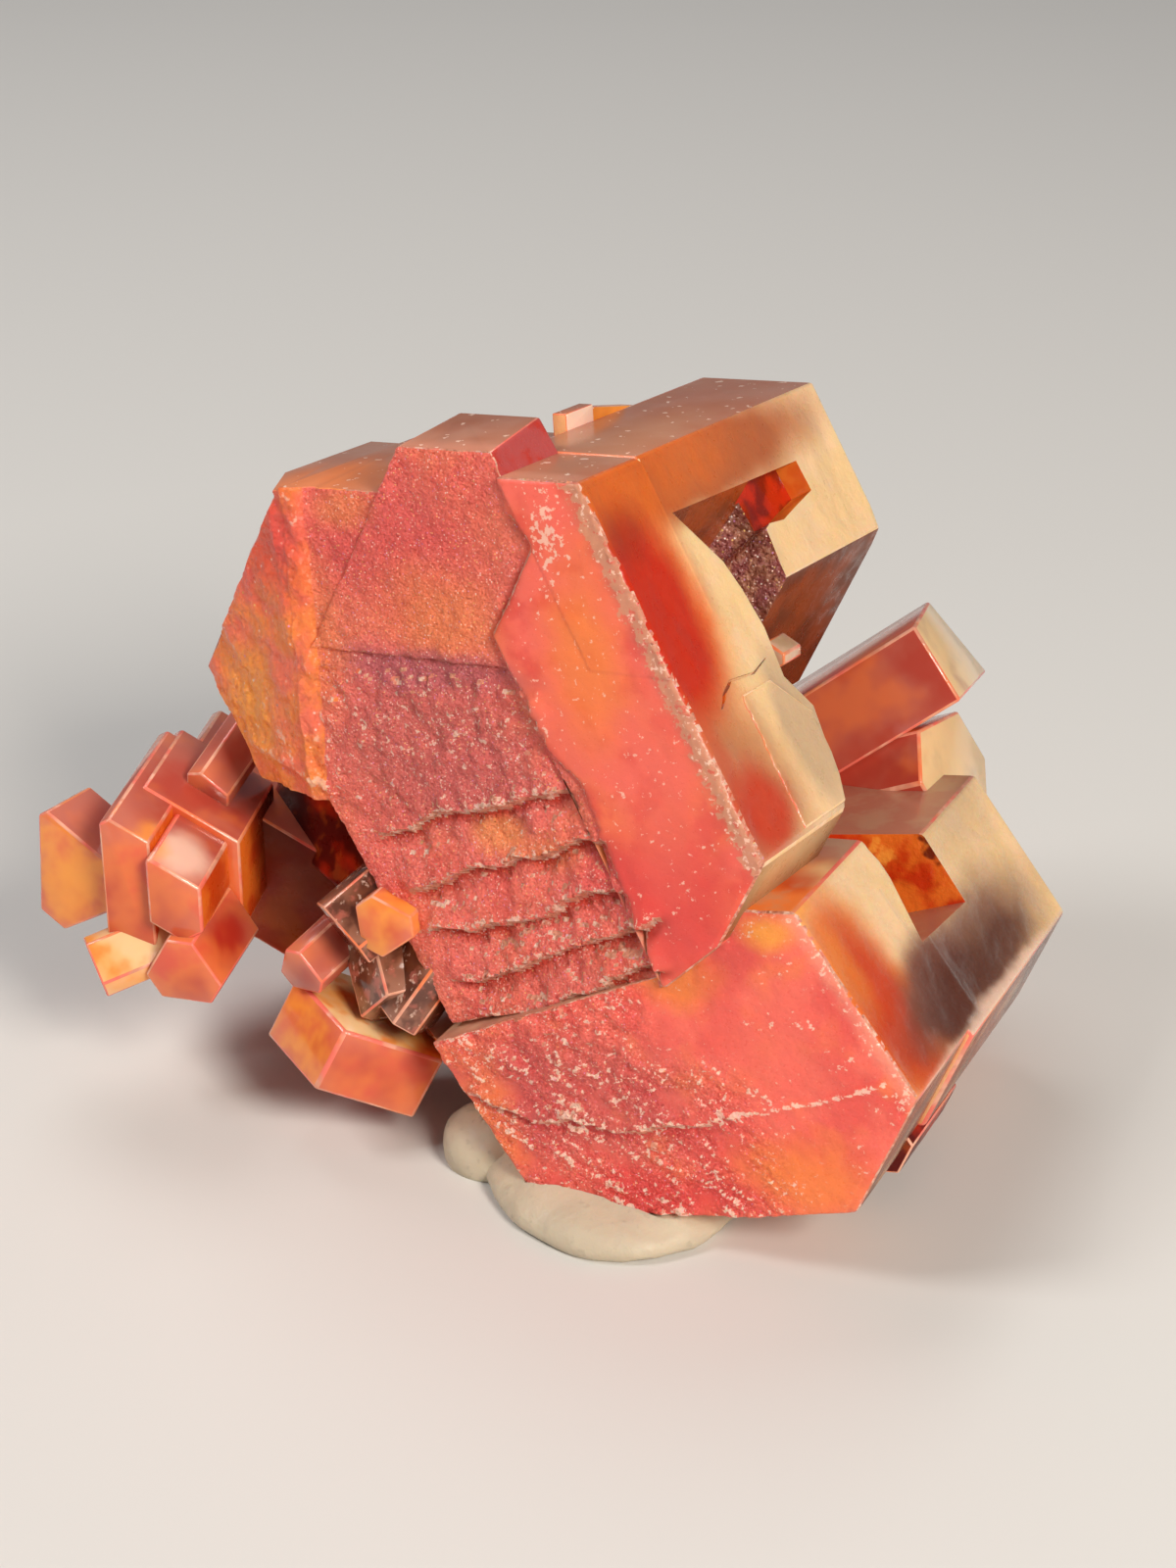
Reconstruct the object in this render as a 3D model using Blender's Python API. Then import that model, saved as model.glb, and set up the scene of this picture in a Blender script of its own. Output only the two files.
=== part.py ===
"""A vanadinite specimen: intergrown blocky hexagonal crystals on a pad of mounting putty.

World: metres, +Z up, +Y away from the front, origin on the putty's flat base under the lower crystal.
Every crystal is the space inside its own faces. A face is set by the direction it looks in, as an
angle around the crystal's long axis, and by its distance from the crystal's origin. The sizes below
are in millimetres and degrees, and the finished meshes are scaled to metres at the end.
"""

import math

import bmesh
import bpy
from mathutils import Matrix, Vector

# ---- Orientation: origin x, y, z; azimuth of the long axis from +Y, its rise, and the spin about it
UPPER = (-0.90, -1.10, 13.63, 30.6, -4.9, 6.8)
LOWER = (-0.36, -1.86, 9.18, 24.0, -4.2, 9.2)
LEFT_BIG = (-13.73, 3.96, 9.17, 9.6, 1.3, -30.3)
LEFT_OUTER = (-16.56, 5.95, 8.68, 24.1, -5.6, -30.3)
TABLET = (-8.01, 1.13, 4.51, -105.0, -62.3, -73.8)
RIGHT_TOP = (10.20, 9.72, 12.20, 96.2, 36.6, -45.1)
RIGHT_LOW = (9.34, 9.00, 10.45, 115.3, 24.3, 131.1)
BACK = (-4.90, 9.30, 7.60, -38.0, 9.0, 14.0)

# ---- The six prism faces, by the angle at which each looks out
TOP, UPPER_RIGHT, LOWER_RIGHT = 90, 30, -30
BOTTOM, LOWER_LEFT, UPPER_LEFT = -90, -150, 150
UPPER_SIDE_ANGLE = 26.5   # the upper crystal's right side is slightly turned

# ---- Depths along the long axis
FRONT_SLAB = 5.0        # the front slab, from the rough end face to its back edge
GAP_END = 9.0           # where the back part of each main crystal begins
WHOLE = 13.7            # full length of the main crystals

# ---- Upper main crystal
UPPER_TOP = 7.65
SLAB_TOP = 8.40
UPPER_SIDE = 4.07
SLAB_LEDGE = 0.22       # how far the slab stands in front of the body
# ---- Lower main crystal
LOWER_TOP = 1.05
LOWER_SIDE = 5.35
LOWER_UNDER = 9.55
LOWER_BASE = 8.30
# ---- Putty
PUTTY_GAP = 0.30        # clearance between the crystal and the putty that holds it
SEAT = 0.58             # height of the lowest point of the specimen
PUTTY_FLOOR = 0.26      # thickness of putty left under it
PUTTY_LOBES = (         # squashed balls: centre x, y, half-widths x, y, height of the middle, thickness
    (0.10, 0.90, 4.10, 5.15, 0.55, 1.65),
    (0.70, 4.70, 4.10, 4.90, 0.50, 1.50),
    (-3.75, 1.55, 1.50, 1.75, 0.40, 1.15),
)
# ---- Small crystals in the gaps: (position and direction), distance to the faces, length
CHIPS = {
    "pink": ((-8.40, 4.00, 6.00, 35.0, 12.0, 8.0), 0.72, 3.6),
    "glassy_a": ((-7.09, 2.99, 7.64, 60.0, 30.0, 20.0), 1.05, 2.6),
    "glassy_b": ((-6.71, 3.02, 5.64, -20.0, 40.0, 10.0), 1.10, 2.6),
    "glassy_c": ((-5.74, 2.19, 5.55, 80.0, 55.0, 35.0), 1.00, 2.4),
    "orange": ((-6.42, 2.49, 7.74, 20.0, -5.0, 40.0), 0.85, 2.4),
    "left_foot": ((-14.55, 4.55, 5.25, 70.0, 15.0, 10.0), 0.85, 2.6),
    "left_under": ((-12.55, 4.75, 5.35, 15.0, 5.0, 0.0), 1.05, 3.2),
    "left_back": ((-12.30, 8.60, 10.20, 25.0, 20.0, 15.0), 1.00, 3.4),
    "under": ((7.75, 0.60, 2.45, 24.0, -4.2, 9.2), 1.40, 4.2),
}
# ---- Fissures across the rough end: path of (across, up) points, and size against the usual
FISSURE_WIDTH = 0.46
FISSURE_DEPTH = 0.42
UPPER_FISSURES = (
    (((-7.4, -2.5), (-4.6, -1.45), (-2.6, -0.95), (-0.6, -0.35)), 1.0),
    (((-6.3, -3.9), (-3.4, -3.0), (-1.5, -2.3), (0.4, -1.55)), 1.15),
    (((-5.6, -5.1), (-3.0, -4.6), (-1.0, -3.6), (0.9, -2.9)), 0.8),
    (((-4.6, -6.5), (-1.6, -5.5), (0.4, -4.1), (2.2, -3.2)), 1.2),
)
LOWER_FISSURES = (
    (((-4.6, -4.3), (-1.8, -5.4), (1.2, -6.9)), 0.55),
    (((-3.2, -3.9), (0.2, -5.1), (2.8, -6.6)), 0.5),
    (((3.2, -5.15), (5.4, -4.65), (7.6, -4.0)), 0.4),
)


def lattice(x, y, z, azimuth, rise, spin):
    """Matrix from a crystal's own axes (across, up, along the long axis) to the world, in mm."""
    a, e, s = (math.radians(v) for v in (azimuth, rise, spin))
    along = Vector((math.sin(a) * math.cos(e), math.cos(a) * math.cos(e), math.sin(e)))
    level = Vector((math.cos(a), -math.sin(a), 0.0))
    upward = level.cross(along)
    across = math.cos(s) * level + math.sin(s) * upward
    up = -math.sin(s) * level + math.cos(s) * upward
    m = Matrix.Identity(4)
    for row in range(3):
        m[row][0], m[row][1], m[row][2] = across[row], up[row], along[row]
    m.translation = Vector((x, y, z))
    return m


def solid(name, bm, matrix):
    """A helper object in millimetres, hidden from renders."""
    bmesh.ops.remove_doubles(bm, verts=bm.verts, dist=1e-5)
    bmesh.ops.recalc_face_normals(bm, faces=bm.faces)
    mesh = bpy.data.meshes.new(name)
    bm.to_mesh(mesh)
    bm.free()
    mesh.transform(matrix)
    if matrix.determinant() < 0:
        mesh.flip_normals()
    obj = bpy.data.objects.new(name, mesh)
    obj.hide_render = True
    obj.display_type = "WIRE"
    bpy.context.scene.collection.objects.link(obj)
    return obj


def crystal(name, frame, faces, near, far, slopes=(), grow=0.0):
    """Convex crystal from its faces {angle: distance}, its two ends, and any sloping facets.

    A slope is (angle around the axis, lean, distance); lean 0 is a prism face, 90 the far end
    and -90 the near end. `grow` moves every face outward by that much.
    """
    bm = bmesh.new()
    bmesh.ops.create_cube(bm, size=90.0)
    planes = [(angle, 0.0, distance) for angle, distance in faces.items()]
    planes += [(0.0, 90.0, far), (0.0, -90.0, -near)]
    planes += list(slopes)
    for angle, lean, distance in planes:
        a, b = math.radians(angle), math.radians(lean)
        normal = Vector((math.cos(a) * math.cos(b), math.sin(a) * math.cos(b), math.sin(b)))
        geom = bm.verts[:] + bm.edges[:] + bm.faces[:]
        made = bmesh.ops.bisect_plane(
            bm, geom=geom, dist=1e-6, plane_co=normal * (distance + grow), plane_no=normal,
            clear_outer=True,
        )
        rim = [g for g in made["geom_cut"] if isinstance(g, bmesh.types.BMEdge)]
        if rim:
            bmesh.ops.edgenet_fill(bm, edges=rim)
    return solid(name, bm, lattice(*frame))


def notch(name, frame, angle, distance, outline, depth, taper=1.0, drift=(0.0, 0.0)):
    """Cutter let into a prism face: outline of (along the axis, along the face) points.

    It starts 1.5 mm outside the face and runs `depth` inward, where it has shrunk by `taper`
    about its middle and moved by `drift`.
    """
    a = math.radians(angle)
    out = Vector((math.cos(a), math.sin(a), 0.0))
    side = Vector((-math.sin(a), math.cos(a), 0.0))
    axis = Vector((0.0, 0.0, 1.0))
    mid_w = sum(p[0] for p in outline) / len(outline)
    mid_t = sum(p[1] for p in outline) / len(outline)
    bm = bmesh.new()
    rings = []
    for level, scale, shift in ((distance + 1.5, 1.0, (0, 0)), (distance, 1.0, (0, 0)),
                                (distance - depth, taper, drift)):
        rings.append([
            bm.verts.new(out * level + axis * (mid_w + (w - mid_w) * scale + shift[0])
                         + side * (mid_t + (t - mid_t) * scale + shift[1]))
            for w, t in outline
        ])
    for lower, upper in zip(rings, rings[1:]):
        for i in range(len(outline)):
            j = (i + 1) % len(outline)
            bm.faces.new((lower[i], lower[j], upper[j], upper[i]))
    bm.faces.new(rings[0])
    bm.faces.new(list(reversed(rings[-1])))
    return solid(name, bm, lattice(*frame))


def fissure(name, frame, path, width, depth, lean=0.35, level=0.0):
    """Wedge cutter that follows a path of (across, up) points on the near end face."""
    bm = bmesh.new()
    rings = []
    for i, (u, v) in enumerate(path):
        before = Vector(path[max(i - 1, 0)])
        after = Vector(path[min(i + 1, len(path) - 1)])
        run = (after - before).normalized()
        across = Vector((-run.y, run.x))
        half = width / 2 if 0 < i < len(path) - 1 else width / 4
        low = depth if 0 < i < len(path) - 1 else depth / 2
        here = Vector((u, v))
        a, b = here + across * half, here - across * half
        c = here + across * (lean * width)
        rings.append([bm.verts.new((a.x, a.y, level - 0.9)), bm.verts.new((b.x, b.y, level - 0.9)),
                      bm.verts.new((b.x, b.y, level)), bm.verts.new((c.x, c.y, level + low)),
                      bm.verts.new((a.x, a.y, level))])
    for one, two in zip(rings, rings[1:]):
        for i in range(5):
            j = (i + 1) % 5
            bm.faces.new((one[i], one[j], two[j], two[i]))
    bm.faces.new(rings[0])
    bm.faces.new(list(reversed(rings[-1])))
    return solid(name, bm, lattice(*frame))


def combine(base, others, operation):
    for other in others:
        step = base.modifiers.new(operation.title(), "BOOLEAN")
        step.operation = operation
        step.solver = "EXACT"
        step.object = other
        graph = bpy.context.evaluated_depsgraph_get()
        mesh = bpy.data.meshes.new_from_object(base.evaluated_get(graph))
        base.modifiers.clear()
        base.data = mesh
    return base


def upper_crystals():
    """The upper main crystal: body, left shoulder, bump, front slab and the arm behind it."""
    body = crystal("upper_body", UPPER, {
        TOP: UPPER_TOP, UPPER_SIDE_ANGLE: UPPER_SIDE - 0.35, LOWER_RIGHT: 5.15, -50: 5.3, -73: 5.77,
        LOWER_LEFT: 8.45, UPPER_LEFT: 12.2, 180: 9.6}, 0.0, 8.6)
    shoulder = crystal("upper_shoulder", UPPER, {
        TOP: UPPER_TOP - 0.1, 0: -5.0, BOTTOM: 1.65, LOWER_LEFT: 11.75, UPPER_LEFT: 13.15}, 0.05, 6.4,
        slopes=((186, -68, 3.43), (150, -25, 11.06), (-150, -25, 9.79)))
    bump = crystal("upper_bump", UPPER, {
        UPPER_RIGHT: 2.32, BOTTOM: -3.0, UPPER_LEFT: 9.31}, -0.12, 3.1, slopes=((90, -6.6, 8.95),))
    slab = crystal("upper_slab", UPPER, {
        TOP: SLAB_TOP - 0.05, UPPER_SIDE_ANGLE: UPPER_SIDE, LOWER_RIGHT: 5.42, -106.5: 1.6,
        UPPER_SIDE_ANGLE + 180: 0.75, UPPER_LEFT: 4.46}, -SLAB_LEDGE, FRONT_SLAB + 0.9)
    corner = crystal("upper_corner", UPPER, {
        TOP: SLAB_TOP, UPPER_SIDE_ANGLE: UPPER_SIDE - 0.05, UPPER_SIDE_ANGLE + 180: -1.7,
        BOTTOM: -3.2}, -SLAB_LEDGE - 0.05, FRONT_SLAB + 0.8)
    plate = crystal("upper_plate", UPPER, {
        UPPER_SIDE_ANGLE: UPPER_SIDE + 0.16, UPPER_SIDE_ANGLE + 90: 0.35, LOWER_RIGHT: 5.30,
        UPPER_SIDE_ANGLE + 180: -2.0}, 1.8, FRONT_SLAB + 0.2, slopes=((60, 30, 5.2),))
    arm = crystal("upper_arm", UPPER, {
        TOP: SLAB_TOP + 0.04, UPPER_SIDE_ANGLE: UPPER_SIDE - 0.02, LOWER_RIGHT: 0.08, BOTTOM: 1.0,
        LOWER_LEFT: 5.0, UPPER_LEFT: 8.4}, 3.0, WHOLE, slopes=((118, 0, 9.05), (0, 66, 13.4)))
    return [body, shoulder, bump, slab, corner, plate, arm]


def upper_notches():
    gap = notch("upper_gap", UPPER, UPPER_SIDE_ANGLE, UPPER_SIDE, [
        (3.4, 5.63), (10.74, 5.49), (10.82, 4.52), (7.55, 4.23), (7.35, 2.87), (7.9, -0.6), (9.2, -9.0),
        (4.5, -9.0), (4.87, -3.84), (5.28, -2.92), (5.69, -0.91), (4.95, 0.22), (5.14, 1.68),
        (4.68, 3.82)], 5.0)
    hollow = crystal("upper_hollow", UPPER, {
        TOP: 6.9, UPPER_RIGHT: 2.7, LOWER_RIGHT: -1.3, BOTTOM: -0.3, LOWER_LEFT: 3.6, UPPER_LEFT: 6.9},
        WHOLE - 1.3, WHOLE + 1.0)
    cuts = [fissure("fissure_%d" % i, UPPER, path, FISSURE_WIDTH * size, FISSURE_DEPTH * size)
            for i, (path, size) in enumerate(UPPER_FISSURES)]
    return [gap, hollow] + cuts


def lower_crystals():
    """The lower main crystal: its front block and ledge, and the block behind the V-shaped gap."""
    right = crystal("lower_right", LOWER, {
        TOP: LOWER_TOP, UPPER_RIGHT: LOWER_SIDE, LOWER_RIGHT: LOWER_UNDER, -82: LOWER_BASE + 0.37,
        -87: LOWER_BASE + 0.16, LOWER_LEFT: 5.6, UPPER_LEFT: -1.64}, 0.0, 6.0)
    left = crystal("lower_left", LOWER, {
        108.6: -1.75, 30: 3.2, LOWER_RIGHT: 9.3, -82: LOWER_BASE + 0.32, -87: LOWER_BASE + 0.1,
        -97.5: LOWER_BASE + 0.12, LOWER_LEFT: 6.95}, -0.5, 5.6, slopes=((30, -88.8, 0.0545),))
    back = crystal("lower_back", LOWER, {
        TOP: 0.0, UPPER_RIGHT: LOWER_SIDE - 0.03, LOWER_RIGHT: LOWER_UNDER + 0.2, BOTTOM: 7.4,
        LOWER_LEFT: 4.6, UPPER_LEFT: 2.2}, 4.8, WHOLE + 0.7)
    side = crystal("lower_side", LOWER, {
        100: -2.9, 0: 0.0, BOTTOM: 7.0, LOWER_LEFT: 9.2}, 0.9, 5.2, slopes=((-150, -38, 5.37),))
    return [right, left, back, side]


def lower_notches():
    gap = notch("lower_gap", LOWER, UPPER_RIGHT, LOWER_SIDE, [
        (5.7, 4.0), (5.7, -2.2), (5.95, -2.9), (5.35, -5.2), (9.0, -5.45), (9.1, -3.2), (9.1, 4.0)],
        4.6, taper=0.7)
    hollow = crystal("lower_hollow", LOWER, {
        TOP: -1.4, UPPER_RIGHT: 3.9, LOWER_RIGHT: 7.9, BOTTOM: 6.0, LOWER_LEFT: 3.2, UPPER_LEFT: 0.8},
        WHOLE - 0.8, WHOLE + 1.4)
    cuts = [fissure("scar_%d" % i, LOWER, path, FISSURE_WIDTH * size, FISSURE_DEPTH * size)
            for i, (path, size) in enumerate(LOWER_FISSURES)]
    return [gap, hollow] + cuts


def core_crystals():
    """Darker crystals in the middle that tie the front and back parts together."""
    core = crystal("core", UPPER, {
        TOP: 5.2, UPPER_RIGHT: -3.0, LOWER_RIGHT: 4.2, BOTTOM: 8.0, LOWER_LEFT: 8.3, UPPER_LEFT: 8.8},
        2.0, 12.0)
    low = crystal("core_low", LOWER, {
        TOP: 3.65, UPPER_RIGHT: 0.4, LOWER_RIGHT: 7.2, BOTTOM: 6.2, LOWER_LEFT: 4.5, UPPER_LEFT: 4.0},
        3.0, 12.8)
    back = crystal("back", BACK, {
        TOP: 3.7, UPPER_RIGHT: 4.1, LOWER_RIGHT: 4.6, BOTTOM: 4.9, LOWER_LEFT: 4.2, UPPER_LEFT: 3.6},
        -5.2, 4.6)
    return [core, low, back]


def right_crystals():
    top = crystal("right_top", RIGHT_TOP, {147: 1.83, -147.6: 3.56, -28: 0.89, 63.7: 0.75}, -8.5, 0.0)
    low = crystal("right_low", RIGHT_LOW, {
        90: 4.4, 30: 2.7, -30: 0.1, -90: 0.1, -150: 1.5, 150: 3.4}, -8.5, 0.0)
    return [top, low]


def left_crystals():
    big = crystal("left_big", LEFT_BIG, {
        90: 0.0, 30: -0.1, -30: 4.1, -90: 3.75, -150: 1.6, 150: 1.28}, 0.0, 6.0)
    block = crystal("left_block", LEFT_BIG, {
        90: -0.15, 30: 1.55, -30: 3.0, -90: 2.1, -150: 0.1, 150: -0.2}, -0.5, 2.7)
    wall = crystal("left_wall", LEFT_BIG, {
        90: 0.07, 30: 1.92, -30: 4.5, -90: 4.4, -150: 1.2, 150: 1.0}, 2.4, 6.4)
    bridge = crystal("left_bridge", LEFT_BIG, {
        90: -0.4, 30: 6.9, -30: 7.3, -90: 4.4, -150: 0.9, 150: 0.2}, 5.0, 9.4)
    outer = crystal("left_outer", LEFT_OUTER, {
        90: 0.0, 30: 2.0, -30: 2.8, -90: 3.0, -150: 1.05, 150: 0.75}, 0.0, 2.4)
    return [big, block, wall, bridge, outer]


def tablet_crystal():
    return [crystal("tablet", TABLET, {
        186: 0.0, 255: 0.0, -30: 3.2, 25: 4.85, 75: 4.05, 112: 2.75}, 0.0, 2.1)]


def chips():
    """Small crystals in the gaps, each a plain hexagonal prism."""
    made = []
    for name, (frame, radius, length) in CHIPS.items():
        faces = {angle: radius * (1.0 + 0.12 * math.sin(angle)) for angle in range(-150, 180, 60)}
        made.append(crystal("chip_" + name, frame, faces, -length / 2, length / 2))
    return made


def half_space(name, height):
    """Cutter that removes all below a height."""
    bm = bmesh.new()
    bmesh.ops.create_cube(bm, size=60.0)
    bmesh.ops.translate(bm, verts=bm.verts, vec=(0.0, 0.0, height - 30.0))
    return solid(name, bm, Matrix.Identity(4))


def vanadinite():
    base, *rest = upper_crystals()
    body = combine(base, rest, "UNION")
    body = combine(body, upper_notches(), "DIFFERENCE")
    first, *more = lower_crystals()
    lower = combine(first, more, "UNION")
    lower = combine(lower, lower_notches(), "DIFFERENCE")
    body = combine(body, [lower] + core_crystals() + right_crystals() + left_crystals()
                   + tablet_crystal() + chips(), "UNION")
    return combine(body, [half_space("below_seat", SEAT)], "DIFFERENCE")


def putty():
    """A pad pressed out under the lower crystal, flat below and dished where the crystal sits."""
    lobes = []
    for i, (x, y, rx, ry, middle, thick) in enumerate(PUTTY_LOBES):
        bm = bmesh.new()
        bmesh.ops.create_uvsphere(bm, u_segments=36, v_segments=18, radius=1.0)
        for vert in bm.verts:
            vert.co = Vector((x + rx * vert.co.x, y + ry * vert.co.y, middle + thick * vert.co.z))
        lobes.append(solid("putty_lobe_%d" % i, bm, Matrix.Identity(4)))
    pad = combine(lobes[0], lobes[1:], "UNION")
    dish = {TOP: 3.0, UPPER_RIGHT: LOWER_SIDE, LOWER_RIGHT: LOWER_UNDER + 0.2, LOWER_LEFT: 6.95}
    front = dish | {-82: LOWER_BASE + 0.37, -87: LOWER_BASE + 0.16, -97.5: LOWER_BASE + 0.12}
    seats = [
        crystal("dish_front", LOWER, front, -0.14, 6.0, grow=PUTTY_GAP),
        crystal("dish_back", LOWER, dish | {BOTTOM: 7.4}, 4.8, 20.0, grow=PUTTY_GAP),
        crystal("dish_side", LOWER, {100: -2.9, 0: 0.0, BOTTOM: 7.0, LOWER_LEFT: 9.2}, 0.9, 5.2,
                grow=PUTTY_GAP),
        crystal("dish_left", BACK, {
            TOP: 3.7, UPPER_RIGHT: 4.1, LOWER_RIGHT: 4.6, BOTTOM: 4.9, LOWER_LEFT: 4.2,
            UPPER_LEFT: 3.6}, -5.2, 4.6, grow=PUTTY_GAP),
        crystal("dish_core", UPPER, {
            TOP: 5.2, UPPER_RIGHT: -3.0, LOWER_RIGHT: 4.2, BOTTOM: 8.0, LOWER_LEFT: 8.3,
            UPPER_LEFT: 8.8}, 2.0, 12.0, grow=PUTTY_GAP),
    ]
    floor = half_space("putty_floor", PUTTY_FLOOR)
    seats = [combine(seat, [floor], "DIFFERENCE") for seat in seats]
    return combine(pad, [half_space("below_floor", 0.0)] + seats, "DIFFERENCE")


def material(name, colour, roughness):
    mat = bpy.data.materials.new(name)
    mat.use_nodes = True
    shader = mat.node_tree.nodes["Principled BSDF"]
    shader.inputs["Base Color"].default_value = (*colour, 1.0)
    shader.inputs["Roughness"].default_value = roughness
    return mat


def finish(obj, name, mat):
    """Show the object as a node of its own, in metres."""
    bm = bmesh.new()
    bm.from_mesh(obj.data)
    bmesh.ops.triangulate(bm, faces=bm.faces)
    bm.to_mesh(obj.data)
    bm.free()
    obj.data.transform(Matrix.Scale(0.001, 4))
    obj.data.materials.clear()
    obj.data.materials.append(mat)
    obj.name = obj.data.name = name
    obj.hide_render = False
    obj.display_type = "TEXTURED"


def main():
    for obj in list(bpy.data.objects):
        bpy.data.objects.remove(obj)
    specimen, pad = vanadinite(), putty()
    finish(specimen, "vanadinite", material("vanadinite", (0.62, 0.09, 0.04), 0.35))
    finish(pad, "mounting_putty", material("putty", (0.83, 0.80, 0.72), 0.7))


main()
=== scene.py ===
"""Vanadinite specimen: the looks of the intergrown crystals and of the putty pad under them.

Each crystal is the space inside its own faces, set in the crystal's own axes: across, up and along
its long axis, in millimetres. Pieces are shaped in millimetres and scaled to metres when finished.
"""

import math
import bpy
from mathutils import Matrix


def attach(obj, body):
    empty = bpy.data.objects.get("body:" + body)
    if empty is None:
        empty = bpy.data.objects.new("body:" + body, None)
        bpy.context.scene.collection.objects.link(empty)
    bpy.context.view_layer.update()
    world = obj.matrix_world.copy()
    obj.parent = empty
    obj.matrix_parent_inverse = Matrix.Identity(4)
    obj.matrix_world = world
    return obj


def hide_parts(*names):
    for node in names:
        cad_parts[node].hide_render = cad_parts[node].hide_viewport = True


bl_info = {
    "name": "Vanadinite Specimen",
    "version": (1, 0, 0),
    "blender": (4, 5, 0),
    "location": "View3D > Sidebar > Specimen",
    "description": "Builds a cluster of blocky hexagonal vanadinite crystals on a pad of putty",
    "category": "Add Mesh",
}

import bpy
import numpy as np
from mathutils import Matrix, Vector, noise

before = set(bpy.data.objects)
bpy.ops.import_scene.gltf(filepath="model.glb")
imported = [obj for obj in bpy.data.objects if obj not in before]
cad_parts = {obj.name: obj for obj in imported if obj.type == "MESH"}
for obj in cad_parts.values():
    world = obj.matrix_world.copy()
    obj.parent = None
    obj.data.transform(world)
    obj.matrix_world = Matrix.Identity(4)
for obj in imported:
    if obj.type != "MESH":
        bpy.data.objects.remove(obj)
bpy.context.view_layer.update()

# ---- Places of the crystals: origin in mm, azimuth of the long axis from +Y, its rise, its spin
UPPER = (-0.90, -1.10, 13.63, 30.6, -4.9, 6.8)
LOWER = (-0.36, -1.86, 9.18, 24.0, -4.2, 9.2)
LEFT_BIG = (-13.73, 3.96, 9.17, 9.6, 1.3, -30.3)
LEFT_OUTER = (-16.56, 5.95, 8.68, 24.1, -5.6, -30.3)
TABLET = (-8.01, 1.13, 4.51, -105.0, -62.3, -73.8)
RIGHT_TOP = (10.20, 9.72, 12.20, 96.2, 36.6, -45.1)
RIGHT_LOW = (9.34, 9.00, 10.45, 115.3, 24.3, 131.1)
BACK = (-4.90, 9.30, 7.60, -38.0, 9.0, 14.0)
UPRIGHT = (0.0, 0.0, 0.0, 0.0, 0.0, 0.0)

# ---- The angles at which the six prism faces look out, and that of the upper crystal's side face
TOP, UPPER_RIGHT, LOWER_RIGHT = 90, 30, -30
BOTTOM, LOWER_LEFT, UPPER_LEFT = -90, -150, 150
SIDE_ANGLE = 26.5


def six(*distances):
    """How far out the six prism faces lie, from the top one round past the right."""
    return dict(zip((TOP, UPPER_RIGHT, LOWER_RIGHT, BOTTOM, LOWER_LEFT, UPPER_LEFT), distances))


# ---- Lengths of the front slab and of the main crystals, and how far their faces lie out, in mm
FRONT_SLAB, WHOLE = 5.0, 13.7
UPPER_TOP, SLAB_TOP, UPPER_SIDE, SLAB_LEDGE = 7.65, 8.40, 4.07, 0.22
LOWER_TOP, LOWER_SIDE, LOWER_UNDER, LOWER_BASE = 1.05, 5.35, 9.55, 8.30

# ---- Height at which the lower crystal is cut level, in mm
SEAT = 0.58

# ---- Faces that both the crystals and the seats pressed into the putty are made from
CORE_FACES = six(5.2, -3.0, 4.2, 8.0, 8.3, 8.8)
BACK_FACES = six(3.7, 4.1, 4.6, 4.9, 4.2, 3.6)
STEP_FACES = {100: -2.9, 0: 0.0, BOTTOM: 7.0, LOWER_LEFT: 9.2}
STEP_SLOPE = 5.37

# ---- Sizes used by the mesh tools, in mm unless they say otherwise
BLANK = 80.0        # cube that a crystal is cut from
CUTTER = 60.0       # cube that cuts away all below a height
STAND_OUT = 1.5     # how far the cutter of a recess stands out of its face
FLAT = 0.9998       # cosine from which a face counts as lying along another
BORDER = 3.0        # calm border of a pinned patch, in steps of its grid

# ---- Depth of a spot through its face, and values that all materials share
END_SPOT, SIDE_SPOT = 3.0, 9.0
BUMP_DEPTH, COAT_ROUGHNESS = 0.0001, 0.12
SCATTER_TINT, SCATTER_DEPTH = (1.0, 0.30, 0.12), 0.0007


# ------------------------------------------------------------- settings shown in the sidebar
def length(name, description, value):
    return bpy.props.FloatProperty(name=name, description=description, default=value,
                                   unit="LENGTH", subtype="DISTANCE", precision=5, min=0.0)


def colour(name, description, value):
    return bpy.props.FloatVectorProperty(name=name, description=description, default=value,
                                         subtype="COLOR", size=3, min=0.0, max=1.0)


class SpecimenSizes(bpy.types.PropertyGroup):
    """Sizes of the details that are added to the crystals."""
    edge: length("Edge width", "Width of the rounding along crystal edges", 0.00007)
    mesh_step: length("Relief spacing", "Distance between points on the rough end faces", 0.00010)
    side_step: length("Side spacing", "Distance between points on the prism faces", 0.00018)
    grain: length("Grain depth", "Depth of the rough grain on the end faces", 0.00014)
    ledge: length("Ledge depth", "Depth of the broken ledges on the end faces", 0.00046)
    stripe: length("Striation spacing", "Distance between growth striations", 0.00042)
    putty_gap: length("Putty clearance", "Gap between the crystal and the putty", 0.00004)


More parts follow.
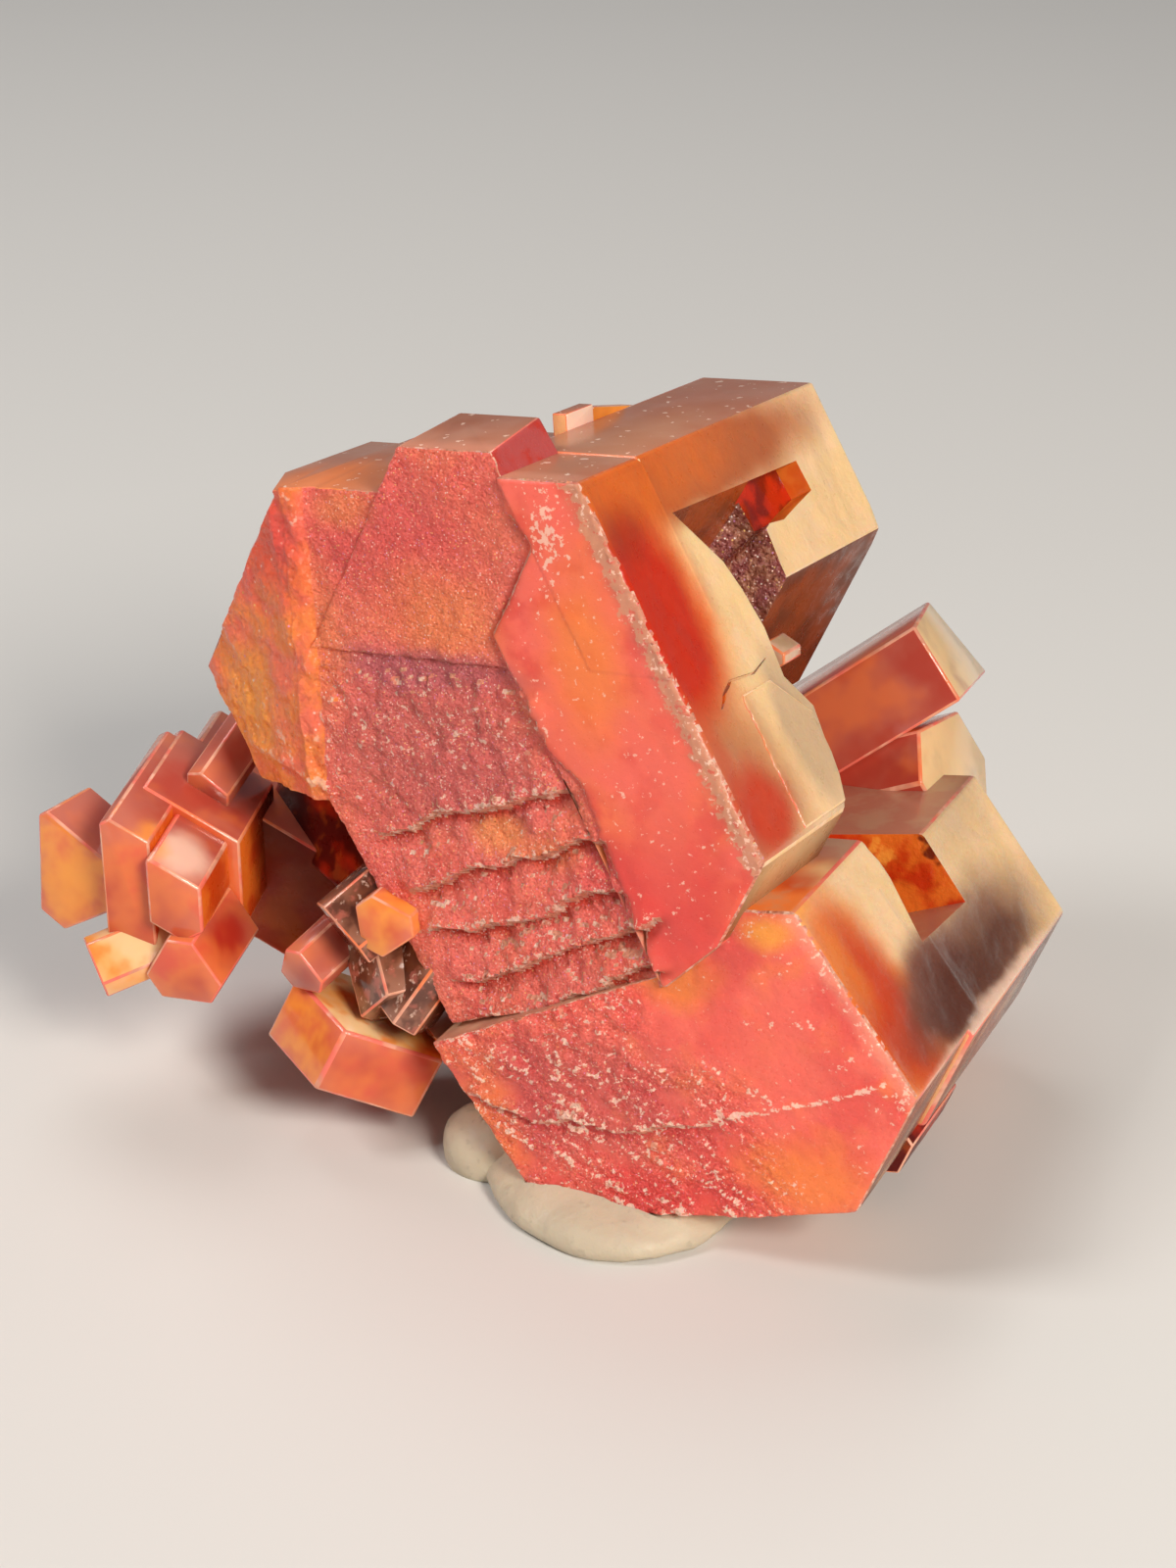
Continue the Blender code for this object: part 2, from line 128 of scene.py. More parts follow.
class SpecimenColours(bpy.types.PropertyGroup):
    """Colours of the crystal faces and of the putty."""
    coral: colour("Coral", "Main colour of the end faces", (0.900, 0.155, 0.110))
    crimson: colour("Crimson", "Deeper red of the end faces", (0.720, 0.050, 0.050))
    orange: colour("Orange", "Orange glow under the surface", (0.920, 0.235, 0.050))
    glow: colour("Bright orange", "Clearest orange spots", (0.970, 0.360, 0.050))
    wine: colour("Wine", "Darker purple-red areas", (0.520, 0.085, 0.080))
    plum: colour("Plum", "Dark purple patches", (0.320, 0.060, 0.100))
    rose: colour("Rose", "Smooth faces of small crystals that look up", (0.52, 0.14, 0.095))
    cream: colour("Cream", "Weathered skin of the prism faces", (0.880, 0.590, 0.300))
    shell: colour("Shell", "Greyer cream of thin plates", (0.560, 0.380, 0.230))
    pale: colour("Pale bits", "Broken edges and grains", (0.95, 0.66, 0.52))
    # Rim paints rounded edges paler: partly wear, partly a painted highlight where the edges catch
    # light.
    rim: colour("Rim", "Rounded crystal edges", (0.70, 0.28, 0.18))
    ember: colour("Ember", "Glowing window in a prism face", (0.56, 0.025, 0.004))
    amber: colour("Amber", "Brighter orange around a window", (0.800, 0.165, 0.018))
    tan: colour("Tan", "Orange-brown skin", (0.420, 0.080, 0.014))
    bronze: colour("Bronze", "Brown translucent skin", (0.150, 0.036, 0.011))
    # Mauve is partly the up-facing faces' own colour and partly a painted sheen of the light
    # above.
    mauve_and_sheen: colour("Mauve", "Smooth glossy faces that look up", (0.520, 0.225, 0.145))
    maroon: colour("Maroon", "Deep unlit red", (0.10, 0.005, 0.003))
    # Umber, together with the greyer tone below it, also paints the shadow cast on the lower
    # crystal's side face; umber is also the glassy crystals' own brown.
    umber_and_shadow: colour("Umber", "Grey-brown window", (0.085, 0.020, 0.009))
    shadow_grey: colour("Smoke", "Upper part of the grey-brown window", (0.200, 0.075, 0.052))
    veil: colour("Veil", "Milky tint near the edges of clear crystals", (0.90, 0.46, 0.32))
    putty: colour("Putty", "Mounting putty", (0.620, 0.530, 0.390))
    floor: colour("Floor", "Pale ground", (0.700, 0.690, 0.670))


# --------------------------------------------------------------------------------- mesh tools
def lattice(x, y, z, azimuth, rise, spin):
    """Matrix from a crystal's own axes (across, up, along the long axis) to the world, in mm."""
    a, e, s = (math.radians(v) for v in (azimuth, rise, spin))
    along = Vector((math.sin(a) * math.cos(e), math.cos(a) * math.cos(e), math.sin(e)))
    level = Vector((math.cos(a), -math.sin(a), 0.0))
    upward = level.cross(along)
    across = math.cos(s) * level + math.sin(s) * upward
    up = -math.sin(s) * level + math.cos(s) * upward
    m = Matrix.Identity(4)
    for row in range(3):
        m[row][0], m[row][1], m[row][2] = across[row], up[row], along[row]
    m.translation = Vector((x, y, z))
    return m


def direction(angle, lean=0.0):
    a, b = math.radians(angle), math.radians(lean)
    return Vector((math.cos(a) * math.cos(b), math.sin(a) * math.cos(b), math.sin(b)))


def only(obj):
    """Selects one object alone and makes it active."""
    if bpy.context.object and bpy.context.object.mode != "OBJECT":
        bpy.ops.object.mode_set(mode="OBJECT")
    bpy.ops.object.select_all(action="DESELECT")
    obj.select_set(True)
    bpy.context.view_layer.objects.active = obj


def edit_all():
    """Starts editing the active object, with all of its mesh selected."""
    bpy.ops.object.mode_set(mode="EDIT")
    bpy.ops.mesh.select_all(action="SELECT")


def face_outward():
    """Turns the selected faces outward and ends editing."""
    bpy.ops.mesh.normals_make_consistent(inside=False)
    bpy.ops.object.mode_set(mode="OBJECT")


def place(obj, matrix):
    """Puts the object at that matrix and applies it, so that its place is in its mesh."""
    flipped = matrix.determinant() < 0
    only(obj)
    obj.matrix_world = matrix
    bpy.ops.object.transform_apply(location=True, rotation=True, scale=True)
    if flipped:
        edit_all()
        face_outward()
    return obj


def crystal(name, where, faces, near, far, slopes=(), edge=None):
    """A convex crystal: a cube cut back by each face {angle: distance}, the two ends and any
    slopes (angle, lean, distance), with its edges rounded."""
    bpy.ops.object.select_all(action="DESELECT")
    bpy.ops.mesh.primitive_cube_add(size=BLANK)
    obj = bpy.context.object
    obj.name = name
    planes = [(angle, 0.0, distance) for angle, distance in faces.items()]
    planes += [(0.0, 90.0, far), (0.0, -90.0, -near)] + list(slopes)
    bpy.ops.object.mode_set(mode="EDIT")
    for angle, lean, distance in planes:
        normal = direction(angle, lean)
        bpy.ops.mesh.select_all(action="SELECT")
        bpy.ops.mesh.bisect(plane_co=normal * distance, plane_no=normal, use_fill=True,
                            clear_outer=True, threshold=1e-5)
    bpy.ops.mesh.select_all(action="SELECT")
    bpy.ops.mesh.remove_doubles(threshold=1e-4)
    if edge is None:
        edge = bpy.context.scene.specimen_sizes.edge * 1000
    if edge:
        bpy.ops.object.mode_set(mode="OBJECT")
        flat = [face.normal.copy() for face in obj.data.polygons]
        edit_all()
        bpy.ops.mesh.bevel(offset=edge, segments=2, affect="EDGES", clamp_overlap=True)
        bpy.ops.mesh.select_all(action="SELECT")
    face_outward()
    if edge:
        mark_rounded(obj, flat)
    return place(obj, lattice(*where))


def mark_rounded(obj, flat):
    """Shades smooth the selected faces that lie along none of the flat normals."""
    for face in obj.data.polygons:
        if face.select and all(abs(face.normal.dot(n)) < FLAT for n in flat):
            face.use_smooth = True


def recess(name, where, angle, distance, outline, depth, floor=None):
    """Cutter for a prism face: an outline of (along, across) points pushed in by `depth`, where
    it ends in the outline `floor`."""
    out = direction(angle)
    side = Vector((-out.y, out.x, 0.0))

    def ring(points, level):
        return [out * level + Vector((0.0, 0.0, w)) + side * t for w, t in points]

    top, bottom = ring(outline, distance + STAND_OUT), ring(floor or outline, distance - depth)
    bpy.ops.object.select_all(action="DESELECT")
    bpy.ops.mesh.primitive_circle_add(vertices=len(outline), radius=1.0, fill_type="NGON")
    obj = bpy.context.object
    obj.name = name
    for vert, spot in zip(obj.data.vertices, top):
        vert.co = spot
    edit_all()
    for step in (STAND_OUT, depth):
        bpy.ops.mesh.extrude_region_move(TRANSFORM_OT_translate={"value": out * -step})
    bpy.ops.object.mode_set(mode="OBJECT")
    for straight, spot in zip(ring(outline, distance - depth), bottom):
        min(obj.data.vertices, key=lambda v: (v.co - straight).length).co = spot
    only(obj)
    edit_all()
    face_outward()
    return place(obj, lattice(*where))


def ribbon(path, width):
    """Outline of a thin strip along a path, for a crack."""
    path = [Vector(q) for q in path]
    sides = []
    for i, q in enumerate(path):
        run = (path[min(i + 1, len(path) - 1)] - path[max(i - 1, 0)]).normalized()
        half = width / 2 * (0.35 if i in (0, len(path) - 1) else 1.0)
        sides.append((q + Vector((-run.y, run.x)) * half, q - Vector((-run.y, run.x)) * half))
    return [tuple(a) for a, _ in sides] + [tuple(b) for _, b in reversed(sides)]


def combine(base, others, operation="UNION"):
    """Joins the others to the base, or cuts them from it, and checks that the result is closed."""
    for other in others:
        only(base)
        step = base.modifiers.new("step", "BOOLEAN")
        step.operation, step.solver, step.object = operation, "MANIFOLD", other
        bpy.ops.object.modifier_apply(modifier=step.name)
        bpy.data.objects.remove(other, do_unlink=True)
        uses = {}
        for face in base.data.polygons:
            for key in face.edge_keys:
                uses[key] = uses.get(key, 0) + 1
        if not uses or set(uses.values()) != {2}:
            raise RuntimeError("the solid isn't closed after a step on " + base.name)
    return base


def below(height):
    """Cutter that removes all below a height."""
    bpy.ops.object.select_all(action="DESELECT")
    bpy.ops.mesh.primitive_cube_add(size=CUTTER)
    return place(bpy.context.object, Matrix.Translation((0.0, 0.0, height - CUTTER / 2)))


def round_edges(obj, where, chosen, width):
    """Rounds the edges for which chosen(normal, other normal) is true, in crystal axes."""
    turn = lattice(*where).inverted().to_3x3()
    mesh = obj.data
    sides = {}
    flat = [face.normal.copy() for face in mesh.polygons]
    for face in mesh.polygons:
        for key in face.edge_keys:
            sides.setdefault(key, []).append(turn @ face.normal)
    only(obj)
    bpy.context.tool_settings.mesh_select_mode = (False, True, False)
    bpy.ops.object.mode_set(mode="EDIT")
    bpy.ops.mesh.select_all(action="DESELECT")
    bpy.ops.object.mode_set(mode="OBJECT")
    for line in mesh.edges:
        pair = sides[line.key]
        line.select = len(pair) == 2 and bool(chosen(*pair))
    bpy.ops.object.mode_set(mode="EDIT")
    bpy.ops.mesh.bevel(offset=width, segments=3, affect="EDGES", clamp_overlap=True)
    bpy.ops.object.mode_set(mode="OBJECT")
    mark_rounded(obj, flat)
    bpy.context.tool_settings.mesh_select_mode = (False, False, True)
    return obj


def mouth(angle):
    """Test for the edges where the wall of a recess meets the prism face at that angle."""
    out = direction(angle)

    def test(first, second):
        level = sorted((abs(first.dot(out)), abs(second.dot(out))))
        return level[1] > 0.97 and level[0] < 0.5
    return test


def relief(obj, where, chosen, axes, spacing, depth, normal, pinned=True, store=None):
    """Divides the chosen faces by a fine grid and sinks their points by depth(points).

    `chosen` takes a face's normal and centre and `depth` an array of points, all in the crystal's
    axes. A pinned patch keeps its outline. `store` names a colour attribute for what depth adds.
    """
    matrix = lattice(*where)
    inverse = matrix.inverted()
    turn = inverse.to_3x3()
    only(obj)
    bpy.context.tool_settings.mesh_select_mode = (False, False, True)
    bpy.ops.object.mode_set(mode="EDIT")
    bpy.ops.mesh.select_all(action="DESELECT")
    bpy.ops.object.mode_set(mode="OBJECT")
    corners = []
    for face in obj.data.polygons:
        face.select = bool(chosen(turn @ face.normal, inverse @ face.center))
        if face.select:
            corners += [inverse @ obj.data.vertices[v].co for v in face.vertices]
    if not corners:
        raise RuntimeError("no face was chosen for relief on " + obj.name)
    bpy.ops.object.mode_set(mode="EDIT")
    bpy.ops.mesh.hide(unselected=True)
    for axis in axes:
        spread = [axis.dot(c) for c in corners]
        low, high = min(spread), max(spread)
        for i in range(1, int((high - low) / spacing) + 1):
            at = low + i * spacing
            bpy.ops.mesh.select_all(action="SELECT")
            bpy.ops.mesh.bisect(plane_co=matrix @ (axis * at), plane_no=matrix.to_3x3() @ axis,
                                threshold=1e-4)
    bpy.ops.mesh.select_all(action="SELECT")
    bpy.ops.mesh.reveal(select=False)
    bpy.ops.object.mode_set(mode="OBJECT")
    mesh = obj.data
    inside, edge = set(), set()
    for face in mesh.polygons:
        (inside if face.select else edge).update(face.vertices)
    edge &= inside
    moving = sorted(inside)
    points = np.array([inverse @ mesh.vertices[v].co for v in moving])
    sunk, facts = depth(points)
    if pinned:
        rim = np.array([inverse @ mesh.vertices[v].co for v in sorted(edge)])
        near = np.array([np.min(np.sum((rim - p) ** 2, axis=1)) for p in points]) ** 0.5
        sunk = sunk * np.clip(near / (BORDER * spacing), 0.0, 1.0)
    inward = matrix.to_3x3() @ (-normal)
    for v, d in zip(moving, sunk):
        mesh.vertices[v].co += inward * float(d)
    if store:
        layer = mesh.attributes.get(store) or mesh.attributes.new(store, "FLOAT_COLOR", "POINT")
        for v, values in zip(moving, facts):
            layer.data[v].color = tuple(float(x) for x in values)
    mesh.update()
    return obj


def end_relief(obj, where, reach, depth, store):
    """Gives the near end face, up to `reach` along the crystal, its relief."""
    step = bpy.context.scene.specimen_sizes.mesh_step * 1000
    return relief(obj, where, lambda n, c: n.z < -0.28 and c.z < reach,
                  (Vector((1, 0, 0)), Vector((0, 1, 0))), step, depth, Vector((0, 0, -1)),
                  pinned=False, store=store)


def side_relief(obj, where, angle, depth):
    """Gives the prism face at that angle its relief."""
    step = bpy.context.scene.specimen_sizes.side_step * 1000
    out = direction(angle)
    return relief(obj, where, lambda n, c: n.dot(out) > 0.995,
                  (Vector((-out.y, out.x, 0)), Vector((0, 0, 1))), step, depth, out)


def dress(obj, where, rules):
    """Gives each face the first material whose test it passes, in the crystal's axes. A test in
    a tuple after "edge" is for the rounded edges alone."""
    inverse = lattice(*where).inverted()
    turn = inverse.to_3x3()
    obj.data.materials.clear()
    names = []
    for mat, _ in rules:
        if mat.name not in names:
            names.append(mat.name)
            obj.data.materials.append(mat)
    for face in obj.data.polygons:
        n, c = turn @ face.normal, inverse @ face.center
        for mat, test in rules:
            if isinstance(test, tuple):
                test = test[1] if face.use_smooth else (lambda n, c: False)
            if test is None or test(n, c):
                face.material_index = names.index(mat.name)
                break
    return obj


def finish(obj, name, node="vanadinite", smooth=48.0):
    """Scales the piece to metres, names it and lets it ride in place of its CAD node."""
    place(obj, Matrix.Scale(0.001, 4))
    only(obj)
    bpy.ops.object.shade_smooth_by_angle(angle=math.radians(smooth))
    obj.name = obj.data.name = name
    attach(obj, "root")
    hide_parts(node)
    return obj


# ------------------------------------------------------------------------------ relief fields
def field(points, size, octaves=4, shift=0.0):
    """Fractal noise at each point, about -1 to 1."""
    return np.array([noise.fractal((p[0] / size + shift, p[1] / size, p[2] / size), 0.75, 2.1,
                                   octaves) for p in points])


def grains(points, size, shift=0.0):
    """Distance to the nearest of scattered points, 0 at a grain's middle."""
    return np.array([noise.voronoi((p[0] / size + shift, p[1] / size, 0.0))[0][0] for p in points])


def smooth(x, low, high):
    """0 below low, 1 above high and an even curve between them."""
    t = np.clip((x - low) / (high - low), 0.0, 1.0)
    return t * t * (3.0 - 2.0 * t)


def across(x, y, out):
    """How far a point lies across the prism face that looks along `out`."""
    return y * out.x - x * out.y


def beside(points, path, jitter=0.0):
    """Signed distance from a path (positive below a path drawn left to right), the share of the
    way along it, and the plain distance."""
    flat = points[:, :2]
    best = np.full(len(flat), 1e9)
    signed, along = np.zeros(len(flat)), np.zeros(len(flat))
    path = np.array(path)
    spans = np.linalg.norm(np.diff(path, axis=0), axis=1)
    done = 0.0
    for a, b, span in zip(path, path[1:], spans):
        run = (b - a) / span
        t = np.clip((flat - a) @ run, 0.0, span)
        off = flat - (a + t[:, None] * run)
        far = np.linalg.norm(off, axis=1)
        side = off @ np.array([run[1], -run[0]])
        closer = far < best
        best = np.where(closer, far, best)
        signed = np.where(closer, np.where(side >= 0, far, -far), signed)
        along = np.where(closer, (done + t) / spans.sum(), along)
        done += span
    return signed + jitter, along, best


# ---- Form of a broken step: its swell, the width of its fall and the hollow below it
SWELL, FALL, HOLLOW = 0.45, 0.24, 0.55


def shingles(points, paths, drop, wobble):
    """Overlapping broken steps: each swells towards its path and falls away below it.
    Returns the height, the pale broken edges and the painted shade in the hollows under them."""
    height, crest, deep = (np.zeros(len(points)) for _ in range(3))
    for path, size, reach in paths:
        s, along, far = beside(points, path, wobble)
        fade = smooth(along, 0.0, 0.16) * smooth(1.0 - along, 0.0, 0.14) * (far < reach + 0.6)
        above = SWELL * np.exp(np.minimum(s, 0.0) / 0.55)
        fall = SWELL - smooth(s, 0.0, FALL)
        back = -HOLLOW * np.clip(1.0 - (s - FALL) / (reach - FALL), 0.0, 1.0)
        step = np.where(s < 0.0, above, np.where(s < FALL, fall, back))
        height += drop * size * fade * step
        crest = np.maximum(crest, fade * np.exp(-((s + 0.03) / 0.12) ** 2))
        # Painted shade in the hollow under each step.
        deep = np.maximum(deep, fade * np.exp(-((s - FALL) / 0.15) ** 2))
    return height, crest, deep


# ---- Steps of the upper end face, from the top one down: path (across, up), size and reach
UPPER_SHINGLES = (
    (((-7.9, -2.7), (-6.4, -2.15), (-5.2, -1.45), (-3.6, -1.15), (-2.4, -0.75), (-0.3, 0.05)),
     0.9, 1.0),
    (((-6.9, -4.1), (-5.2, -3.45), (-3.8, -2.95), (-2.2, -2.45), (-1.0, -1.9), (0.7, -1.35)),
     1.1, 1.1),
    (((-6.4, -5.4), (-4.7, -4.95), (-3.3, -4.55), (-1.7, -3.85), (-0.2, -3.2), (1.3, -2.75)),
     1.0, 1.0),
    (((-5.6, -6.6), (-4.0, -6.35), (-2.6, -5.75), (-1.2, -5.05), (0.2, -4.35), (2.5, -3.3)),
     1.2, 1.0),
    (((-4.9, -7.9), (-3.0, -7.3), (-1.2, -6.5), (0.6, -5.6), (2.6, -4.7)), 0.8, 0.7),
)
# ---- Edge of the slab on the upper end face
SEAM = ((-2.23, 8.3), (-1.94, 7.25), (-1.37, 6.61), (-2.12, 5.06), (-2.84, 3.95), (-2.43, 3.1),
        (-1.7, 2.34), (-1.18, 0.99), (-0.16, -0.02), (0.43, -1.47), (1.2, -3.37), (1.9, -5.2))


def upper_relief(points):
    """Depth of the upper crystal's end face, and (pale bits, painted shade in the hollows, rough
    part, rim).
    """
    sizes = bpy.context.scene.specimen_sizes
    grain, drop = sizes.grain * 1000, sizes.ledge * 1000
    u, v = points[:, 0], points[:, 1]
    order = sorted(SEAM, key=lambda q: q[1])
    seam = np.interp(v, [q[1] for q in order], [q[0] for q in order])
    coarse, fine = field(points, 1.2), field(points, 0.40, 4, 7.0)
    tiny = field(points, 0.16, 2, 3.0)
    left = smooth(seam - u + 0.14 * fine, -0.08, 0.16)
    shoulder = smooth(-u - 0.35 * smooth(-v, -2.0, 1.0), 8.7, 9.2)
    chunky = (smooth(v + 0.3 * coarse, -2.2, -1.0) * smooth(2.45 - v + 0.35 * fine, -0.05, 0.18)
              * smooth(-u, 0.7, 1.6) * (1.0 - shoulder))
    lumps = grains(points + 0.08 * fine[:, None], 0.62, 3.0)
    bits = grains(points, 0.34, 9.0)
    low = smooth(-v, 1.5, 2.5) * left
    height = -0.15 * left * (1.0 - shoulder)
    height += chunky * (0.10 + 1.5 * grain * (0.5 - lumps) + 0.8 * grain * (0.5 - bits))
    height += grain * left * (1 - shoulder) * (
        0.55 * coarse + (1.0 - 0.5 * low) * (0.40 * fine + 0.22 * tiny))
    height += grain * low * (0.35 * fine + 0.2 * (0.5 - bits))
    rise, crest, deep = shingles(points, UPPER_SHINGLES, drop, 0.24 * coarse + 0.07 * fine)
    height += rise
    _, _, far = beside(points, SEAM[1:6])
    crack = np.exp(-((far + 0.03 * fine) / 0.11) ** 2)
    height -= 0.12 * crack
    edge = u * math.cos(math.radians(SIDE_ANGLE)) + v * math.sin(math.radians(SIDE_ANGLE))
    rim = smooth(edge, 3.25, 3.8)
    right = 1.0 - left
    height += right * grain * (0.22 * coarse + 0.10 * fine + rim * (0.30 * fine + 0.3 * tiny))
    ribs = np.sin(2.2 * (0.75 * u + 0.66 * v + 0.4 * coarse))
    height += shoulder * grain * (0.9 * coarse + 0.7 * np.abs(ribs) + 0.3 * fine)
    _, _, off = beside(points, ((-12.5, -0.55), (-10.6, -0.75), (-8.9, -1.15)))
    height += 0.16 * np.exp(-(off / 0.22) ** 2)
    peak = chunky * smooth(0.5 - bits, 0.15, 0.45)
    patch = np.exp(-((u + 0.75) / 0.5) ** 2 - ((v - 6.9) / 1.3) ** 2)
    streak = shoulder * smooth(ribs, 0.80, 0.99) * smooth(coarse, -0.1, 0.4)
    band = rim * (0.35 + 0.65 * right)
    pale = np.clip(0.50 * crest + 0.45 * peak + 0.60 * patch + 0.22 * band + 0.5 * streak
                   + 0.10 * right + 0.22 * chunky + 0.12 * low
                   + 0.6 * np.exp(-(off / 0.16) ** 2), 0, 1)
    # Painted shade in the hollows, with a darker red along the seam crack.
    deep = np.clip(np.maximum(deep, 0.45 * crack * (v > 3.4)) * (1.0 - 0.5 * crest), 0, 1)
    rough = np.clip(left * (1 - shoulder), 0, 1)
    return 0.10 - height, np.stack([pale, deep, rough, band], axis=1)


# ---- A fold and a thin raised line on the lower end face, as (across, up)
LOWER_FOLD = ((-5.4, -4.6), (-4.2, -5.25), (-2.6, -5.60), (-0.2, -5.72), (1.6, -5.45),
              (3.0, -5.10))
LOWER_SCRATCH = ((2.6, -5.22), (4.2, -4.85), (5.6, -4.55), (7.7, -3.84))


def lower_relief(points):
    """Depth of the lower crystal's end face, and (pale bits, painted shade in the grooves, rough
    part, rim).
    """
    sizes = bpy.context.scene.specimen_sizes
    grain, gap = sizes.grain * 1000, sizes.stripe * 1000
    u, v = points[:, 0], points[:, 1]
    coarse, fine = field(points, 1.3, 4, 11.0), field(points, 0.36, 4, 17.0)
    tiny = field(points, 0.16, 2, 23.0)
    across = 0.527 * u + 0.85 * v + 0.45 * field(points, 2.2, 2, 23.0) + 0.10 * fine
    tooth = np.mod(across / gap, 1.0)
    saw = np.where(tooth < 0.72, tooth / 0.72, (1.0 - tooth) / 0.28)
    band = smooth(-(u + 0.25 * v), -3.6, -1.4) * smooth(-v, 3.0, 4.4)
    band *= smooth(coarse, -0.65, -0.1)
    run = np.stack([(0.85 * u - 0.527 * v) * 0.45, across * 2.2, 0 * u], axis=1)
    dash = smooth(field(run, 0.55, 3, 5.0), 0.05, 0.30)
    _, _, scratch = beside(points, LOWER_SCRATCH)
    s, along, _ = beside(points, LOWER_FOLD, 0.22 * coarse + 0.10 * fine)
    fade = smooth(along, 0.0, 0.12) * smooth(1.0 - along, 0.0, 0.12)
    top = smooth(v, -4.6, -3.6) * smooth(-u, -1.6, 0.4)
    bits = grains(points, 0.42, 13.0)
    height = 0.13 * band * (saw - 0.5) * (0.6 + 0.6 * coarse)
    height += grain * (0.30 * coarse + 0.16 * fine + 0.08 * tiny)
    height += grain * top * (0.7 * fine + 1.0 * (0.5 - bits))
    height += fade * (0.16 * np.exp(-(np.minimum(s, 0) / 0.5) ** 2) * (s < 0)
                      + (s >= 0) * 0.16 * (1.0 - 2.0 * smooth(s, 0.0, 0.22))
                      * np.exp(-np.maximum(s, 0) / 0.7))
    height += 0.07 * np.exp(-(scratch / 0.09) ** 2)
    pale = band * smooth(tooth, 0.50, 0.70) * (1 - smooth(tooth, 0.80, 0.98)) * (0.25 + 0.5 * dash)
    pale = np.maximum(pale, 0.75 * fade * np.exp(-((s - 0.02) / 0.15) ** 2))
    pale = np.maximum(pale, 0.85 * np.exp(-(scratch / 0.08) ** 2))
    pale = np.maximum(pale, top * (0.15 + 0.35 * smooth(0.5 - bits, 0.20, 0.45)))
    reach = u * math.cos(math.radians(UPPER_RIGHT)) + v * 0.5
    rim = smooth(reach + 0.08 * fine, 4.75, 5.2)
    pale = np.clip(pale + 0.06 + 0.08 * band + 0.24 * rim + 0.30 * smooth(coarse, 0.15, 0.6), 0, 1)
    # Painted shade in the grooves and below the fold.
    deep = band * smooth(0.30 - tooth, 0.0, 0.25) * 0.6
    deep = np.maximum(deep, fade * np.exp(-((s - 0.26) / 0.14) ** 2) * 0.7)
    return 0.09 - height, np.stack([pale, deep, 0.15 + 0.7 * np.maximum(band, top), rim], axis=1)


# ---- Recesses of the upper side face, as (along, across): the notch, its slot and a crack
GAP_MOUTH = [
    (3.4, 5.63), (5.8, 5.58), (8.2, 5.53), (8.3, 4.35), (7.55, 4.10), (7.40, 2.87), (7.45, -9.0),
    (4.5, -9.0), (4.87, -3.84), (5.28, -2.92), (5.69, -0.91),
    (4.95, 0.22), (5.14, 1.68), (4.95, 2.9), (4.68, 3.82)]
GAP_FLOOR = [
    (4.6, 3.55), (5.9, 3.50), (7.5, 3.60), (7.5, 3.40), (7.35, 3.10), (7.2, 1.60), (7.25, -9.0),
    (4.9, -9.0), (5.0, -3.9), (5.35, -2.9), (5.75, -0.9),
    (5.05, 0.22), (5.2, 1.6), (5.05, 2.6), (4.8, 3.1)]
SLOT = [(7.8, 5.54), (10.74, 5.49), (10.82, 4.52), (9.6, 4.30), (8.66, 4.11), (7.8, 4.2)]
CRACK = ((1.35, 0.30), (1.75, 0.62), (2.3, 0.86), (2.95, 0.80), (3.6, 0.72), (4.5, 0.92))


def upper_side_relief(points):
    """Depth of the slab's side face: gentle swelling, a curved crack and small pits."""
    out = direction(SIDE_ANGLE)
    t, w = across(points[:, 0], points[:, 1], out), points[:, 2]
    flat = np.stack([w, t], axis=1)
    wave, fine = field(points, 1.7, 3, 3.0), field(points, 0.5, 3, 9.0)
    s, along, _ = beside(flat, CRACK)
    fade = smooth(along, 0.0, 0.1) * smooth(1 - along, 0.0, 0.05)
    pits = smooth(field(points, 0.45, 2, 61.0), 0.46, 0.66) * smooth(w, 8.5, 11.0)
    edge = smooth(0.35 * t + w, 4.0, 6.0) * smooth(8.0 - w, 0, 1)
    return (0.05 - 0.07 * wave - 0.02 * fine + 0.045 * pits + 0.03 * edge * np.abs(fine)
            + 0.05 * fade * smooth(s, 0.0, 0.2) * smooth(1.4 - s, 0.0, 1.2)), None


def lower_side_relief(points):
    """Depth of the lower crystal's side face: gentle swelling and a worn lower rim."""
    out = direction(UPPER_RIGHT)
    t, w = across(points[:, 0], points[:, 1], out), points[:, 2]
    wave, fine = field(points, 1.9, 3, 13.0), field(points, 0.45, 3, 19.0)
    worn = smooth(-t, 6.9, 7.9)
    pits = smooth(field(points, 0.45, 2, 71.0), 0.46, 0.66) * smooth(w, 9.5, 11.5)
    return 0.05 - 0.06 * wave - 0.015 * fine + 0.06 * worn * np.abs(fine) + 0.06 * pits, None


